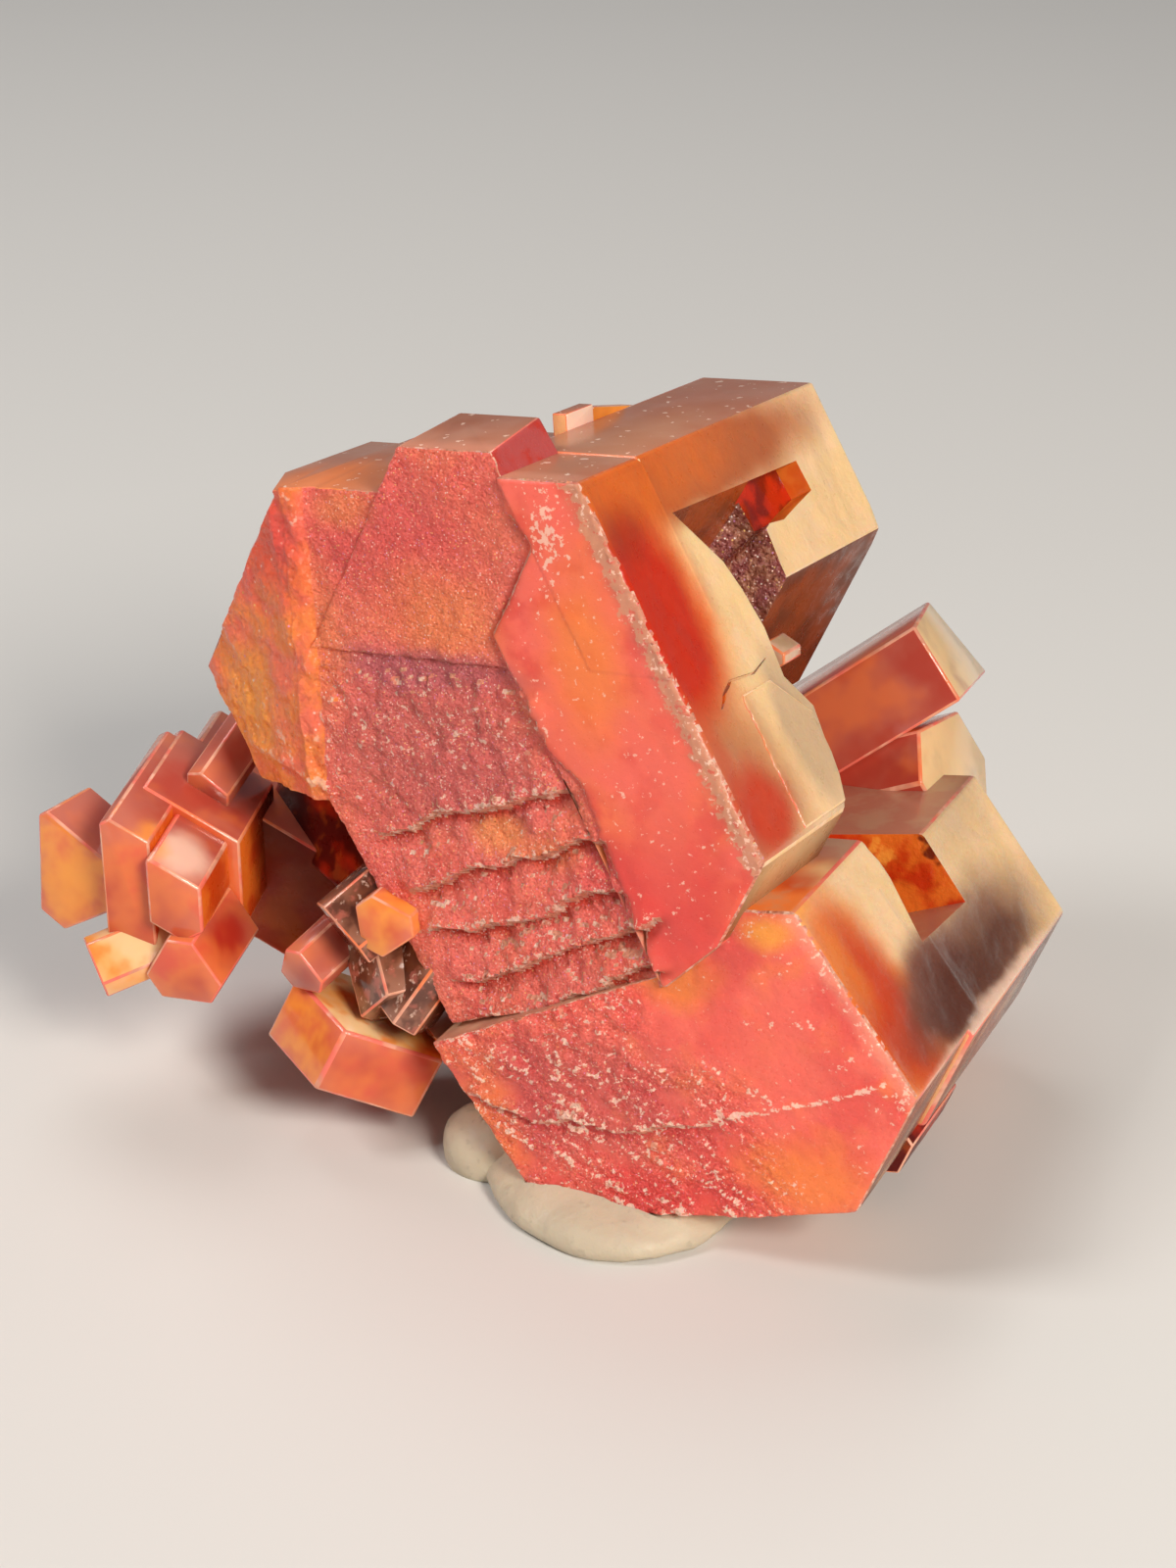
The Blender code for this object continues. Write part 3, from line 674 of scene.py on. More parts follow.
# ------------------------------------------------------------------------------- shader tools
class Tree:
    """Short forms for building a node tree."""

    def __init__(self, tree):
        self.tree = tree

    def add(self, kind, inputs=(), **settings):
        node = self.tree.nodes.new(kind)
        for key, value in settings.items():
            setattr(node, key, value)
        for key, value in dict(inputs).items():
            self.feed(node.inputs[key], value)
        return node

    def feed(self, socket, value):
        if isinstance(value, bpy.types.NodeSocket):
            self.tree.links.new(value, socket)
        elif value is not None:
            socket.default_value = value

    def math(self, operation, a, b=0.0):
        node = self.add("ShaderNodeMath", operation=operation)
        self.feed(node.inputs[0], a)
        self.feed(node.inputs[1], b)
        return node.outputs[0]

    def vector(self, operation, a, b=(0.0, 0.0, 0.0), scale=None):
        node = self.add("ShaderNodeVectorMath", operation=operation)
        self.feed(node.inputs[0], a)
        self.feed(node.inputs[1], b)
        if scale is not None:
            self.feed(node.inputs["Scale"], scale)
        return node.outputs["Value" if operation == "LENGTH" else "Vector"]

    def ramp(self, value, low, high, to_low=0.0, to_high=1.0):
        node = self.add("ShaderNodeMapRange", {"Value": value, "From Min": low, "From Max": high,
                                               "To Min": to_low, "To Max": to_high},
                        interpolation_type="SMOOTHSTEP")
        return node.outputs["Result"]

    def blend(self, share, a, b):
        node = self.add("ShaderNodeMix", data_type="RGBA")
        self.feed(node.inputs[0], share)
        for index, value in ((6, a), (7, b)):
            if not isinstance(value, bpy.types.NodeSocket):
                value = (*value[:3], 1.0)
            self.feed(node.inputs[index], value)
        return node.outputs[2]


def group(name, inputs, outputs):
    """A new shader node group with these sockets: (tree, its input sockets, its output node)."""
    tree = bpy.data.node_groups.new(name, "ShaderNodeTree")
    for label, kind, value in inputs:
        socket = tree.interface.new_socket(name=label, in_out="INPUT", socket_type=kind)
        if value is not None:
            socket.default_value = value
    for label, kind in outputs:
        tree.interface.new_socket(name=label, in_out="OUTPUT", socket_type=kind)
    start = tree.nodes.new("NodeGroupInput")
    end = tree.nodes.new("NodeGroupOutput")
    return Tree(tree), start.outputs, end


FLOAT, VECTOR, COLOUR = "NodeSocketFloat", "NodeSocketVector", "NodeSocketColor"


def soft_spot_group():
    """A rounded patch with a soft, slightly ragged outline."""
    t, given, end = group("soft spot", (
        ("Vector", VECTOR, None), ("Centre", VECTOR, (0.0, 0.0, 0.0)),
        ("Radius", VECTOR, (1.0, 1.0, 1.0)), ("Softness", FLOAT, 0.4), ("Warp", FLOAT, 0.3)),
        (("Mask", FLOAT),))
    wave = t.add("ShaderNodeTexNoise", {"Vector": given["Vector"], "Scale": 0.55, "Detail": 3.0})
    shift = t.vector("SUBTRACT", wave.outputs["Color"], (0.5, 0.5, 0.5))
    shift = t.vector("SCALE", shift, scale=t.math("MULTIPLY", given["Warp"], 4.0))
    there = t.vector("ADD", given["Vector"], shift)
    there = t.vector("SUBTRACT", there, given["Centre"])
    there = t.vector("DIVIDE", there, given["Radius"])
    away = t.vector("LENGTH", there)
    low = t.math("SUBTRACT", 1.0, given["Softness"])
    high = t.math("ADD", 1.0, given["Softness"])
    t.feed(end.inputs["Mask"], t.ramp(away, low, high, 1.0, 0.0))
    return t.tree


def mottle_group():
    """Cloudy variation with a fine grain over it."""
    t, given, end = group("mottle", (
        ("Vector", VECTOR, None), ("Size", FLOAT, 1.0), ("Low", FLOAT, 0.35),
        ("High", FLOAT, 0.65)), (("Mask", FLOAT), ("Fine", FLOAT)))
    scale = t.math("DIVIDE", 1.0, given["Size"])
    wide = t.add("ShaderNodeTexNoise", {"Vector": given["Vector"], "Scale": scale, "Detail": 3.0,
                                        "Roughness": 0.5})
    fine = t.add("ShaderNodeTexNoise", {"Vector": given["Vector"],
                                        "Scale": t.math("MULTIPLY", scale, 9.0), "Detail": 4.0})
    t.feed(end.inputs["Mask"], t.ramp(wide.outputs["Fac"], given["Low"], given["High"]))
    t.feed(end.inputs["Fine"], fine.outputs["Fac"])
    return t.tree


def glitter_group():
    """Tiny mirror-like facets: which cells shine, a pale tint painted on them as a highlight, and
    a normal that tilts.
    """
    t, given, end = group("glitter", (
        ("Vector", VECTOR, None), ("Size", FLOAT, 0.06), ("Share", FLOAT, 0.1),
        ("Tilt", FLOAT, 0.6)), (("Mask", FLOAT), ("Tint", COLOUR), ("Normal", VECTOR)))
    cells = t.add("ShaderNodeTexVoronoi", {"Vector": given["Vector"],
                                           "Scale": t.math("DIVIDE", 1.0, given["Size"])})
    parts = t.add("ShaderNodeSeparateColor", {"Color": cells.outputs["Color"]})
    least = t.math("SUBTRACT", 1.0, given["Share"])
    most = t.math("ADD", least, t.math("MULTIPLY", given["Share"], 0.8))
    lit = t.ramp(parts.outputs[0], least, most)
    mask = t.math("MULTIPLY", lit, t.ramp(cells.outputs["Distance"], 0.25, 0.55, 1.0, 0.0))
    tilt = t.vector("SUBTRACT", cells.outputs["Color"], (0.5, 0.5, 0.5))
    tilt = t.vector("SCALE", tilt, scale=given["Tilt"])
    outward = t.add("ShaderNodeNewGeometry").outputs["Normal"]
    tint = t.add("ShaderNodeValToRGB", {"Fac": parts.outputs[1]})
    tint.color_ramp.interpolation = "CONSTANT"
    stops = tint.color_ramp.elements
    stops[0].position, stops[0].color = 0.0, (1.0, 0.62, 0.50, 1.0)
    stops[1].position, stops[1].color = 0.40, (1.0, 0.88, 0.80, 1.0)
    for position, shade in ((0.66, (0.80, 0.36, 0.72, 1.0)), (0.82, (1.0, 0.66, 0.22, 1.0))):
        stop = stops.new(position)
        stop.color = shade
    t.feed(end.inputs["Mask"], mask)
    t.feed(end.inputs["Tint"], tint.outputs["Color"])
    t.feed(end.inputs["Normal"], t.vector("NORMALIZE", t.vector("ADD", outward, tilt)))
    return t.tree


def flecks_group():
    """Crisp ragged flecks that cover more of the face as the amount grows."""
    t, given, end = group("flecks", (
        ("Vector", VECTOR, None), ("Size", FLOAT, 0.2), ("Amount", FLOAT, 0.5)),
        (("Mask", FLOAT),))
    wave = t.add("ShaderNodeTexNoise", {
        "Vector": given["Vector"], "Scale": t.math("DIVIDE", 1.0, given["Size"]),
        "Detail": 4.0, "Roughness": 0.6})
    level = t.math("ADD", wave.outputs["Fac"], t.math("MULTIPLY", given["Amount"], 0.30))
    mask = t.math("MULTIPLY", t.ramp(level, 0.66, 0.73), t.ramp(given["Amount"], 0.02, 0.12))
    t.feed(end.inputs["Mask"], mask)
    return t.tree


GROUPS = {"soft spot": soft_spot_group, "mottle": mottle_group, "glitter": glitter_group,
          "flecks": flecks_group}


def effect(t, name, **values):
    """A node of one of the shared groups, built once, with its own values."""
    tree = bpy.data.node_groups.get(name) or GROUPS[name]()
    node = t.add("ShaderNodeGroup", node_tree=tree)
    for key, value in values.items():
        t.feed(node.inputs[key], value)
    return node


def skin(name, where, turn, base, layers=(), rough=0.4, bump=0.05, bump_size=0.5, coat=0.0,
         glitter=None, ior=1.5, glow=0.15, keep=None):
    """Material of a crystal face. The axes are (outward, across, along) once turned to the face.

    The base and each layer's colour are a name from the sidebar or (r, g, b). Layers are painted
    in order: ("spot", centre, radius, softness, warp, colour, share),
    ("cloud", size, low, high, colour, share), ("stored", attribute, channel, colour, share) or
    ("flecks", attribute, channel, size, colour, share), which breaks the stored value up.
    `glitter` is (size, share of cells, tilt, strength of its painted highlight tint), and `keep`
    names the (attribute, channel) that says how much of it stays.
    """
    mat = bpy.data.materials.get(name)
    if mat:
        return mat
    named = tones()
    base = named.get(base, base)
    mat = bpy.data.materials.new(name)
    mat.use_nodes = True
    t = Tree(mat.node_tree)
    shader = mat.node_tree.nodes["Principled BSDF"]
    turned = lattice(*where) @ Matrix.Rotation(math.radians(turn), 4, "Z")
    handed = turned @ Matrix.Scale(-1.0, 4, (0.0, 0.0, 1.0))
    here = t.add("ShaderNodeMapping", {
        "Vector": t.add("ShaderNodeTexCoord").outputs["Object"],
        "Location": tuple(turned.translation * 0.001), "Rotation": tuple(handed.to_euler()),
        "Scale": (0.001, 0.001, -0.001)}, vector_type="TEXTURE").outputs[0]
    paint = None
    for layer in layers:
        kind, rest = layer[0], layer[1:]
        under = base if paint is None else paint
        if kind == "spot":
            centre, radius, softness, warp, tone, share = rest
            mask = effect(t, "soft spot", Vector=here, Centre=centre, Radius=radius,
                          Softness=softness, Warp=warp).outputs["Mask"]
        elif kind == "cloud":
            size, low, high, tone, share = rest
            mask = effect(t, "mottle", Vector=here, Size=size, Low=low, High=high).outputs["Mask"]
        else:
            attribute, channel, *size, tone, share = rest
            kept = t.add("ShaderNodeAttribute", attribute_name=attribute)
            parts = t.add("ShaderNodeSeparateColor", {"Color": kept.outputs["Color"]})
            mask = parts.outputs[channel] if channel < 3 else kept.outputs["Alpha"]
            if size:
                mask = effect(t, "flecks", Vector=here, Size=size[0], Amount=mask).outputs["Mask"]
        paint = t.blend(t.math("MULTIPLY", mask, share), under, named.get(tone, tone))
    base_rough = effect(t, "mottle", Vector=here, Size=bump_size, Low=0.3, High=0.7)
    vary = 0.25 if bump else 0.04
    gloss = t.ramp(base_rough.outputs["Mask"], 0.0, 1.0, rough * (1 - vary), rough * (1 + vary))
    height = t.math("ADD", base_rough.outputs["Mask"],
                    t.math("MULTIPLY", base_rough.outputs["Fine"], 0.5))
    if keep:
        parts = t.add("ShaderNodeSeparateColor", {
            "Color": t.add("ShaderNodeAttribute", attribute_name=keep[0]).outputs["Color"]})
        kept = parts.outputs[keep[1]]
        height = t.math("MULTIPLY", height, t.ramp(kept, 0.0, 1.0, 0.06, 1.0))
    bumped = t.add("ShaderNodeBump", {"Height": height, "Strength": bump, "Distance": BUMP_DEPTH})
    if glitter:
        size, share, tilt, amount = glitter
        if keep:
            tilt = t.math("MULTIPLY", kept, tilt)
        sparks = effect(t, "glitter", Vector=here, Size=size, Share=share, Tilt=tilt)
        strength = t.math("MULTIPLY", sparks.outputs["Mask"], amount)
        if keep:
            strength = t.math("MULTIPLY", strength, t.ramp(kept, 0.0, 1.0, 0.06, 1.0))
        # Painted highlight: the shining cells take the pale glitter tint into the base colour.
        paint = t.blend(strength, paint if paint is not None else base, sparks.outputs["Tint"])
        gloss = t.math("MULTIPLY", gloss, t.ramp(sparks.outputs["Mask"], 0.0, 1.0, 1.0, 0.45))
        t.feed(bumped.inputs["Normal"], sparks.outputs["Normal"])
    if paint is None:
        shader.inputs["Base Color"].default_value = (*base[:3], 1.0)
    else:
        t.feed(shader.inputs["Base Color"], paint)
    t.feed(shader.inputs["Roughness"], gloss)
    t.feed(shader.inputs["Normal"], bumped.outputs["Normal"])
    shader.inputs["IOR"].default_value = ior
    shader.inputs["Coat Weight"].default_value = coat
    shader.inputs["Coat Roughness"].default_value = COAT_ROUGHNESS
    if glow:
        shader.inputs["Subsurface Weight"].default_value = glow
        shader.inputs["Subsurface Radius"].default_value = SCATTER_TINT
        shader.inputs["Subsurface Scale"].default_value = SCATTER_DEPTH
    return mat


def tones():
    """The colours of the sidebar, by name."""
    chosen = bpy.context.scene.specimen_colours
    return {key: tuple(getattr(chosen, key)) for key in SpecimenColours.__annotations__}


def facing(angle, spread=0.9):
    """Test for faces that look out at that angle around the long axis."""
    out = direction(angle)
    return lambda n, c: n.dot(out) > spread


def end_spots(*rows):
    """Spots of an end face, from rows (across, up, half width, half height, softness, warp,
    colour, share)."""
    return [("spot", (x, y, 0.0), (wide, high, END_SPOT), *look)
            for x, y, wide, high, *look in rows]


def side_spots(level, *rows):
    """Spots of a prism face that lies out at that level, from rows (across, along, half width,
    half length, softness, warp, colour, share)."""
    return [("spot", (level, t, w), (SIDE_SPOT, wide, long), *look)
            for t, w, wide, long, *look in rows]


def outline_skin():
    """Material of the rounded edges of every crystal, painted pale: partly wear, partly a painted
    highlight where the edges catch light.
    """
    return skin("pale edge", UPPER, 0, "rim", (
        ("cloud", 0.9, 0.42, 0.55, "veil", 0.7), ("cloud", 1.5, 0.44, 0.56, "coral", 0.85),
        ("cloud", 2.2, 0.50, 0.60, "orange", 0.6)), rough=0.2, bump=0.1, bump_size=0.2, coat=0.4)


def lip_skin():
    """Material of the rounded edges around the recesses of the side faces."""
    return skin("cream edge", UPPER, 0, "cream", (("cloud", 0.9, 0.4, 0.6, "pale", 0.4),),
                rough=0.4, bump=0.3, bump_size=0.25)


def prism_skin(name, where, more=()):
    """Material of the main crystals' other prism faces."""
    return skin(name, where, 0, "amber", (
        ("cloud", 5.0, 0.38, 0.66, "cream", 0.75), ("cloud", 3.0, 0.5, 0.75, "crimson", 0.4),
        *more), rough=0.3, bump=0.15, bump_size=0.4, coat=0.3, glow=0.3)


# --------------------------------------------------------------------------------- main crystals
class UpperCrystal(bpy.types.Operator):
    """Build the upper main crystal: rough end face, slab, notch and arm"""
    bl_idname = "specimen.upper_crystal"
    bl_label = "Upper crystal"

    def execute(self, context):
        body = crystal("upper", UPPER, {
            TOP: UPPER_TOP, SIDE_ANGLE: UPPER_SIDE - 0.35, LOWER_RIGHT: 5.35, -50: 5.6,
            -73: 6.15, LOWER_LEFT: 8.6, UPPER_LEFT: 12.2, 180: 9.6}, 0.0, 8.6)
        shoulder = crystal("shoulder", UPPER, {
            TOP: UPPER_TOP - 0.1, 0: -5.0, BOTTOM: 1.65, LOWER_LEFT: 11.75, UPPER_LEFT: 13.15},
            0.05, 6.4, slopes=((186, -68, 3.43), (150, -25, 11.06), (-150, -25, 9.79)))
        bump = crystal("bump", UPPER, {
            UPPER_RIGHT: 2.32, BOTTOM: -3.0, UPPER_LEFT: 9.31}, -0.12, 3.1,
            slopes=((90, -6.6, 8.95),))
        slab = crystal("slab", UPPER, {
            TOP: SLAB_TOP - 0.05, SIDE_ANGLE: UPPER_SIDE, LOWER_RIGHT: 5.42, -50: 5.68,
            -73: 6.23, SIDE_ANGLE + 180: 0.75, UPPER_LEFT: 4.46}, -SLAB_LEDGE, FRONT_SLAB + 0.9,
            edge=0.16)
        corner = crystal("corner", UPPER, {
            TOP: SLAB_TOP, SIDE_ANGLE: UPPER_SIDE, SIDE_ANGLE + 180: -1.7, BOTTOM: -3.2},
            -SLAB_LEDGE - 0.03, FRONT_SLAB + 0.8, edge=0.12)
        plate = crystal("plate", UPPER, {
            SIDE_ANGLE: UPPER_SIDE + 0.05, SIDE_ANGLE + 90: 0.35, LOWER_RIGHT: 5.30,
            SIDE_ANGLE + 180: -2.0}, 2.4, FRONT_SLAB + 0.45, slopes=((60, 30, 5.2),), edge=0.04)
        arm = crystal("arm", UPPER, {
            TOP: SLAB_TOP + 0.04, SIDE_ANGLE: UPPER_SIDE, LOWER_RIGHT: 0.08, BOTTOM: 1.0,
            LOWER_LEFT: 5.0, UPPER_LEFT: 8.4}, 3.0, WHOLE, slopes=((118, 0, 9.05), (0, 66, 13.4)))
        ledge = crystal("ledge", UPPER, {TOP: 8.88, 0: -3.47, BOTTOM: -7.5, 180: 3.95},
                        5.7, 7.2, edge=0.04)
        ridge = crystal("ridge", UPPER, {TOP: 8.8, 0: -3.51, BOTTOM: -7.5, 180: 4.1},
                        7.0, 9.8, slopes=((90, 10, 9.91),), edge=0.04)
        combine(body, [shoulder, bump, slab, corner, plate, arm, ledge, ridge])
        gap = recess("gap", UPPER, SIDE_ANGLE, UPPER_SIDE, GAP_MOUTH, 3.4, GAP_FLOOR)
        slot = recess("slot", UPPER, SIDE_ANGLE, UPPER_SIDE, SLOT, 0.75)
        under = crystal("under", UPPER, {
            UPPER_LEFT: -0.08, SIDE_ANGLE + 180: -0.60, SIDE_ANGLE: 7.3, -63.5: 9.6}, 7.15, 9.85,
            edge=0)
        crack = recess("crack", UPPER, SIDE_ANGLE, UPPER_SIDE, ribbon(CRACK, 0.07), 0.16)
        hollow = crystal("hollow", UPPER, six(6.9, 2.7, -1.3, -0.3, 3.6, 6.9), WHOLE - 1.3,
                         WHOLE + 1.0, edge=0)
        combine(body, [gap, slot, under, hollow], "DIFFERENCE")
        round_edges(body, UPPER, mouth(SIDE_ANGLE), 0.16)
        combine(body, [crack], "DIFFERENCE")
        end_relief(body, UPPER, 2.6, upper_relief, "upper_face")
        side_relief(body, UPPER, SIDE_ANGLE, upper_side_relief)
        self.paint(body)
        finish(body, "upper_crystal")
        return {"FINISHED"}

    def paint(self, body):
        front = skin("upper end face", UPPER, 0, "coral", (
            ("cloud", 2.6, 0.40, 0.62, "orange", 0.45),
            ("cloud", 1.3, 0.46, 0.66, "crimson", 0.65),
            *end_spots(
                (-6.0, 6.3, 3.2, 1.9, 0.6, 0.4, "crimson", 0.75),
                (-4.4, 4.3, 1.7, 1.3, 0.7, 0.3, "orange", 0.9),
                (-4.9, 0.4, 3.3, 2.4, 0.45, 0.4, "wine", 0.85),
                (-5.4, 2.7, 3.1, 0.55, 0.6, 0.3, "plum", 0.8),
                (-3.2, -1.95, 0.9, 0.6, 0.6, 0.2, "glow", 0.65),
                (-1.4, -2.2, 0.9, 0.5, 0.7, 0.2, "orange", 0.8),
                (-9.2, 3.4, 1.2, 2.6, 0.6, 0.3, "orange", 0.7),
                (-7.6, 7.2, 0.9, 0.5, 0.6, 0.2, "glow", 0.45),
                (0.2, 3.6, 1.1, 2.3, 0.7, 0.3, "orange", 0.7),
                (0.4, -2.5, 1.3, 1.2, 0.6, 0.3, "crimson", 0.8),
                (2.9, -3.0, 1.6, 2.2, 0.7, 0.3, "crimson", 0.8),
                (2.6, 0.8, 1.2, 3.4, 0.7, 0.3, "coral", 0.6)),
            ("stored", "upper_face", 2, (0.97, 0.25, 0.22), 0.27),
            # Painted shade: ember darkens the hollows under the steps; along the seam crack it is
            # also a darker red.
            ("stored", "upper_face", 1, "ember", 0.92),
            ("stored", "upper_face", 3, "rose", 0.60),
            ("flecks", "upper_face", 3, 0.22, "shell", 0.5),
            ("flecks", "upper_face", 0, 0.18, "pale", 0.70),
        ), rough=0.42, bump=0.55, bump_size=0.10, glitter=(0.055, 0.24, 1.0, 0.62),
            keep=("upper_face", 2), ior=1.42, glow=0.25)
        shoulder = skin("shoulder", UPPER, 0, "orange", (
            ("cloud", 1.5, 0.42, 0.62, "coral", 0.75),
            *end_spots(
                (-12.3, 0.6, 1.3, 1.6, 0.7, 0.3, "glow", 0.85),
                (-10.6, 6.0, 1.8, 1.6, 0.7, 0.3, "crimson", 0.7)),
            ("flecks", "upper_face", 0, 0.30, "pale", 0.45),
        ), rough=0.36, bump=0.3, bump_size=0.30, glitter=(0.10, 0.04, 0.6, 0.6), coat=0.1,
            ior=1.5, glow=0.35)
        rim = skin("upper rim", UPPER, 0, "rim", (
            ("cloud", 0.6, 0.42, 0.6, "coral", 0.35),
            ("cloud", 0.3, 0.5, 0.62, "pale", 0.7),
        ), rough=0.42, bump=0.6, bump_size=0.12, glitter=(0.08, 0.16, 0.9, 0.7))
        edge, lip = outline_skin(), lip_skin()
        side = skin("upper side", UPPER, SIDE_ANGLE, "cream", (
            ("cloud", 1.6, 0.42, 0.62, "pale", 0.22),
            *side_spots(4.0,
                (6.6, 5.6, 1.25, 6.8, 0.4, 0.2, "tan", 0.92),
                (6.9, 1.2, 1.7, 2.6, 0.5, 0.3, "tan", 0.95),
                (3.6, 0.9, 3.9, 2.25, 0.38, 0.2, "amber", 0.9),
                (3.3, 0.75, 3.1, 1.85, 0.36, 0.2, "ember", 1.0),
                (5.9, 0.8, 0.9, 1.1, 0.6, 0.3, "bronze", 0.35),
                (6.9, 4.2, 1.0, 3.2, 0.6, 0.3, "amber", 0.5),
                (-2.2, 1.0, 2.5, 2.2, 0.45, 0.2, "tan", 0.7),
                (-2.7, 1.2, 1.3, 1.25, 0.5, 0.2, "ember", 0.85),
                (-1.2, -0.1, 2.2, 0.8, 0.5, 0.2, "ember", 0.5),
                (-1.3, 4.7, 2.3, 1.0, 0.35, 0.2, "shell", 0.85),
                (-4.3, 3.0, 0.5, 2.6, 0.7, 0.2, "shell", 0.6)),
        ), rough=0.36, bump=0.15, bump_size=0.35, coat=0.2, glow=0.3, ior=1.5)
        # Painted sheen: the mauve of this up-facing face stands partly for the light it reflects
        # from above.
        top = skin("upper top", UPPER, TOP, "mauve_and_sheen", (
            ("cloud", 2.6, 0.42, 0.64, "tan", 0.4),
            *side_spots(8.4,
                (2.0, 9.0, 2.8, 5.0, 0.5, 0.3, "tan", 0.4),
                (4.2, 10.4, 0.7, 1.9, 0.5, 0.3, "glow", 0.6),
                (8.6, 1.5, 2.0, 2.4, 0.6, 0.3, "orange", 0.55),
                (3.0, 0.3, 3.0, 0.5, 0.6, 0.2, "rim", 0.6),
                (1.2, 5.0, 1.5, 4.0, 0.6, 0.2, "shell", 0.25)),
            ("cloud", 0.34, 0.665, 0.69, "pale", 0.8),
        ), rough=0.22, bump=0.0, coat=0.0, ior=1.36, glow=0.1)
        fracture = skin("fracture", UPPER, 0, "mauve_and_sheen", (
            ("cloud", 0.5, 0.4, 0.6, "plum", 0.6),
            ("cloud", 1.2, 0.5, 0.65, "bronze", 0.6),
        ), rough=0.25, bump=0.5, bump_size=0.15, glitter=(0.07, 0.22, 1.0, 1.0))
        facet = skin("slot facet", UPPER, 0, "amber", (
            ("cloud", 0.8, 0.42, 0.6, "glow", 0.35),), rough=0.2, bump=0.05, coat=0.4)
        ceiling = skin("notch ceiling", UPPER, 0, "tan", (
            ("cloud", 1.6, 0.4, 0.6, "bronze", 0.6),
        ), rough=0.3, bump=0.2, bump_size=0.3, coat=0.2)
        # Painted shade: maroon clouds darken the inside of the notch.
        inner = skin("upper notch", UPPER, 0, "ember", (
            ("cloud", 0.9, 0.42, 0.6, "maroon", 0.85),
            ("cloud", 0.5, 0.55, 0.68, "amber", 0.7),
        ), rough=0.22, bump=0.3, bump_size=0.3, coat=0.3)
        # Painted highlight: these small facets are painted pale to stand for the glint of light on
        # them.
        glint = skin("pale facet", UPPER, 0, "pale", rough=0.15)
        window = skin("arm window", UPPER, 0, "glow", (
            ("cloud", 3.0, 0.30, 0.72, "tan", 0.8),), rough=0.25, bump=0.0)
        # Painted shade: maroon clouds darken the inside of the slot.
        slotted = skin("slot", UPPER, 0, "ember", (
            ("cloud", 0.9, 0.40, 0.6, "maroon", 0.7),), rough=0.25, bump=0.1, coat=0.2)
        dark = skin("bump side", UPPER, 0, "wine", (
            ("cloud", 0.9, 0.42, 0.6, "ember", 0.7),), rough=0.25, bump=0.1, coat=0.2)
        under = skin("upper underside", UPPER, LOWER_RIGHT, "bronze", (
            ("cloud", 2.2, 0.4, 0.62, "tan", 0.45),
            *side_spots(3.0, (2.0, 2.0, 3.0, 3.0, 0.6, 0.3, "cream", 0.6)),
        ), rough=0.35, bump=0.1, bump_size=0.4, ior=1.3)
        rest = prism_skin("upper prism", UPPER, (("cloud", 0.5, 0.60, 0.72, "pale", 0.2),))
        out = direction(SIDE_ANGLE)

        def notched(n, q):
            t = across(q.x, q.y, out)
            return 3.2 < q.z < 10.95 and 0.2 < q.dot(out) < 3.75 and -9.0 < t < 5.7 and n.y < 0.7

        dress(body, UPPER, (
            (front, lambda n, q: n.z < -0.72 and q.z < 1.6 and q.x > -8.9),
            (shoulder, lambda n, q: n.z < -0.3 and q.x < -7.5 and q.z < 3.5),
            (rim, lambda n, q: n.z < -0.12 and q.z < 1.5 and n.dot(out) < 0.92 and n.y < 0.95),
            # Painted highlight on the ledge's pale facet.
            (glint, lambda n, q: n.x > 0.7 and q.y > 8.45 and 5.5 < q.z < 7.3),
            (window, lambda n, q: q.x < -3.3 and q.y > 8.3 and n.x > 0.7 and q.z > 7.0),
            (dark, lambda n, q: n.dot(out) > 0.7 and q.dot(out) < 3.4 and q.z < 3.3 and q.y > 5.0),
            (ceiling, lambda n, q: notched(n, q) and n.y < -0.3 and q.z < 8.2
             and across(q.x, q.y, out) > 3.2),
            (facet, lambda n, q: notched(n, q) and n.z < -0.5 and q.z > 10.0),
            (slotted, lambda n, q: notched(n, q) and q.z > 7.6 and q.dot(out) > 3.0
             and across(q.x, q.y, out) > 4.0),
            (fracture, lambda n, q: notched(n, q) and n.z < -0.5 and 6.8 < q.z < 8.0),
            (under, lambda n, q: n.dot(direction(LOWER_RIGHT)) > 0.8 and q.z > 6.9),
            (inner, notched),
            (lip, ("edge", lambda n, q: n.dot(out) > 0.2 and 2.9 < q.z < 11.5
                   and -4.2 < across(q.x, q.y, out) < 5.75)),
            (side, lambda n, q: n.dot(out) > 0.88 or q.dot(out) > 3.8 and n.dot(out) > 0.6),
            (edge, ("edge", None)),
            # Painted highlight on the near part of the face at 118 degrees.
            (glint, lambda n, q: n.dot(direction(118)) > 0.97 and q.z < 6.8),
            (window, facing(118, 0.97)),
            (top, facing(TOP, 0.8)),
            (under, facing(LOWER_RIGHT, 0.8)),
            (rest, None)))


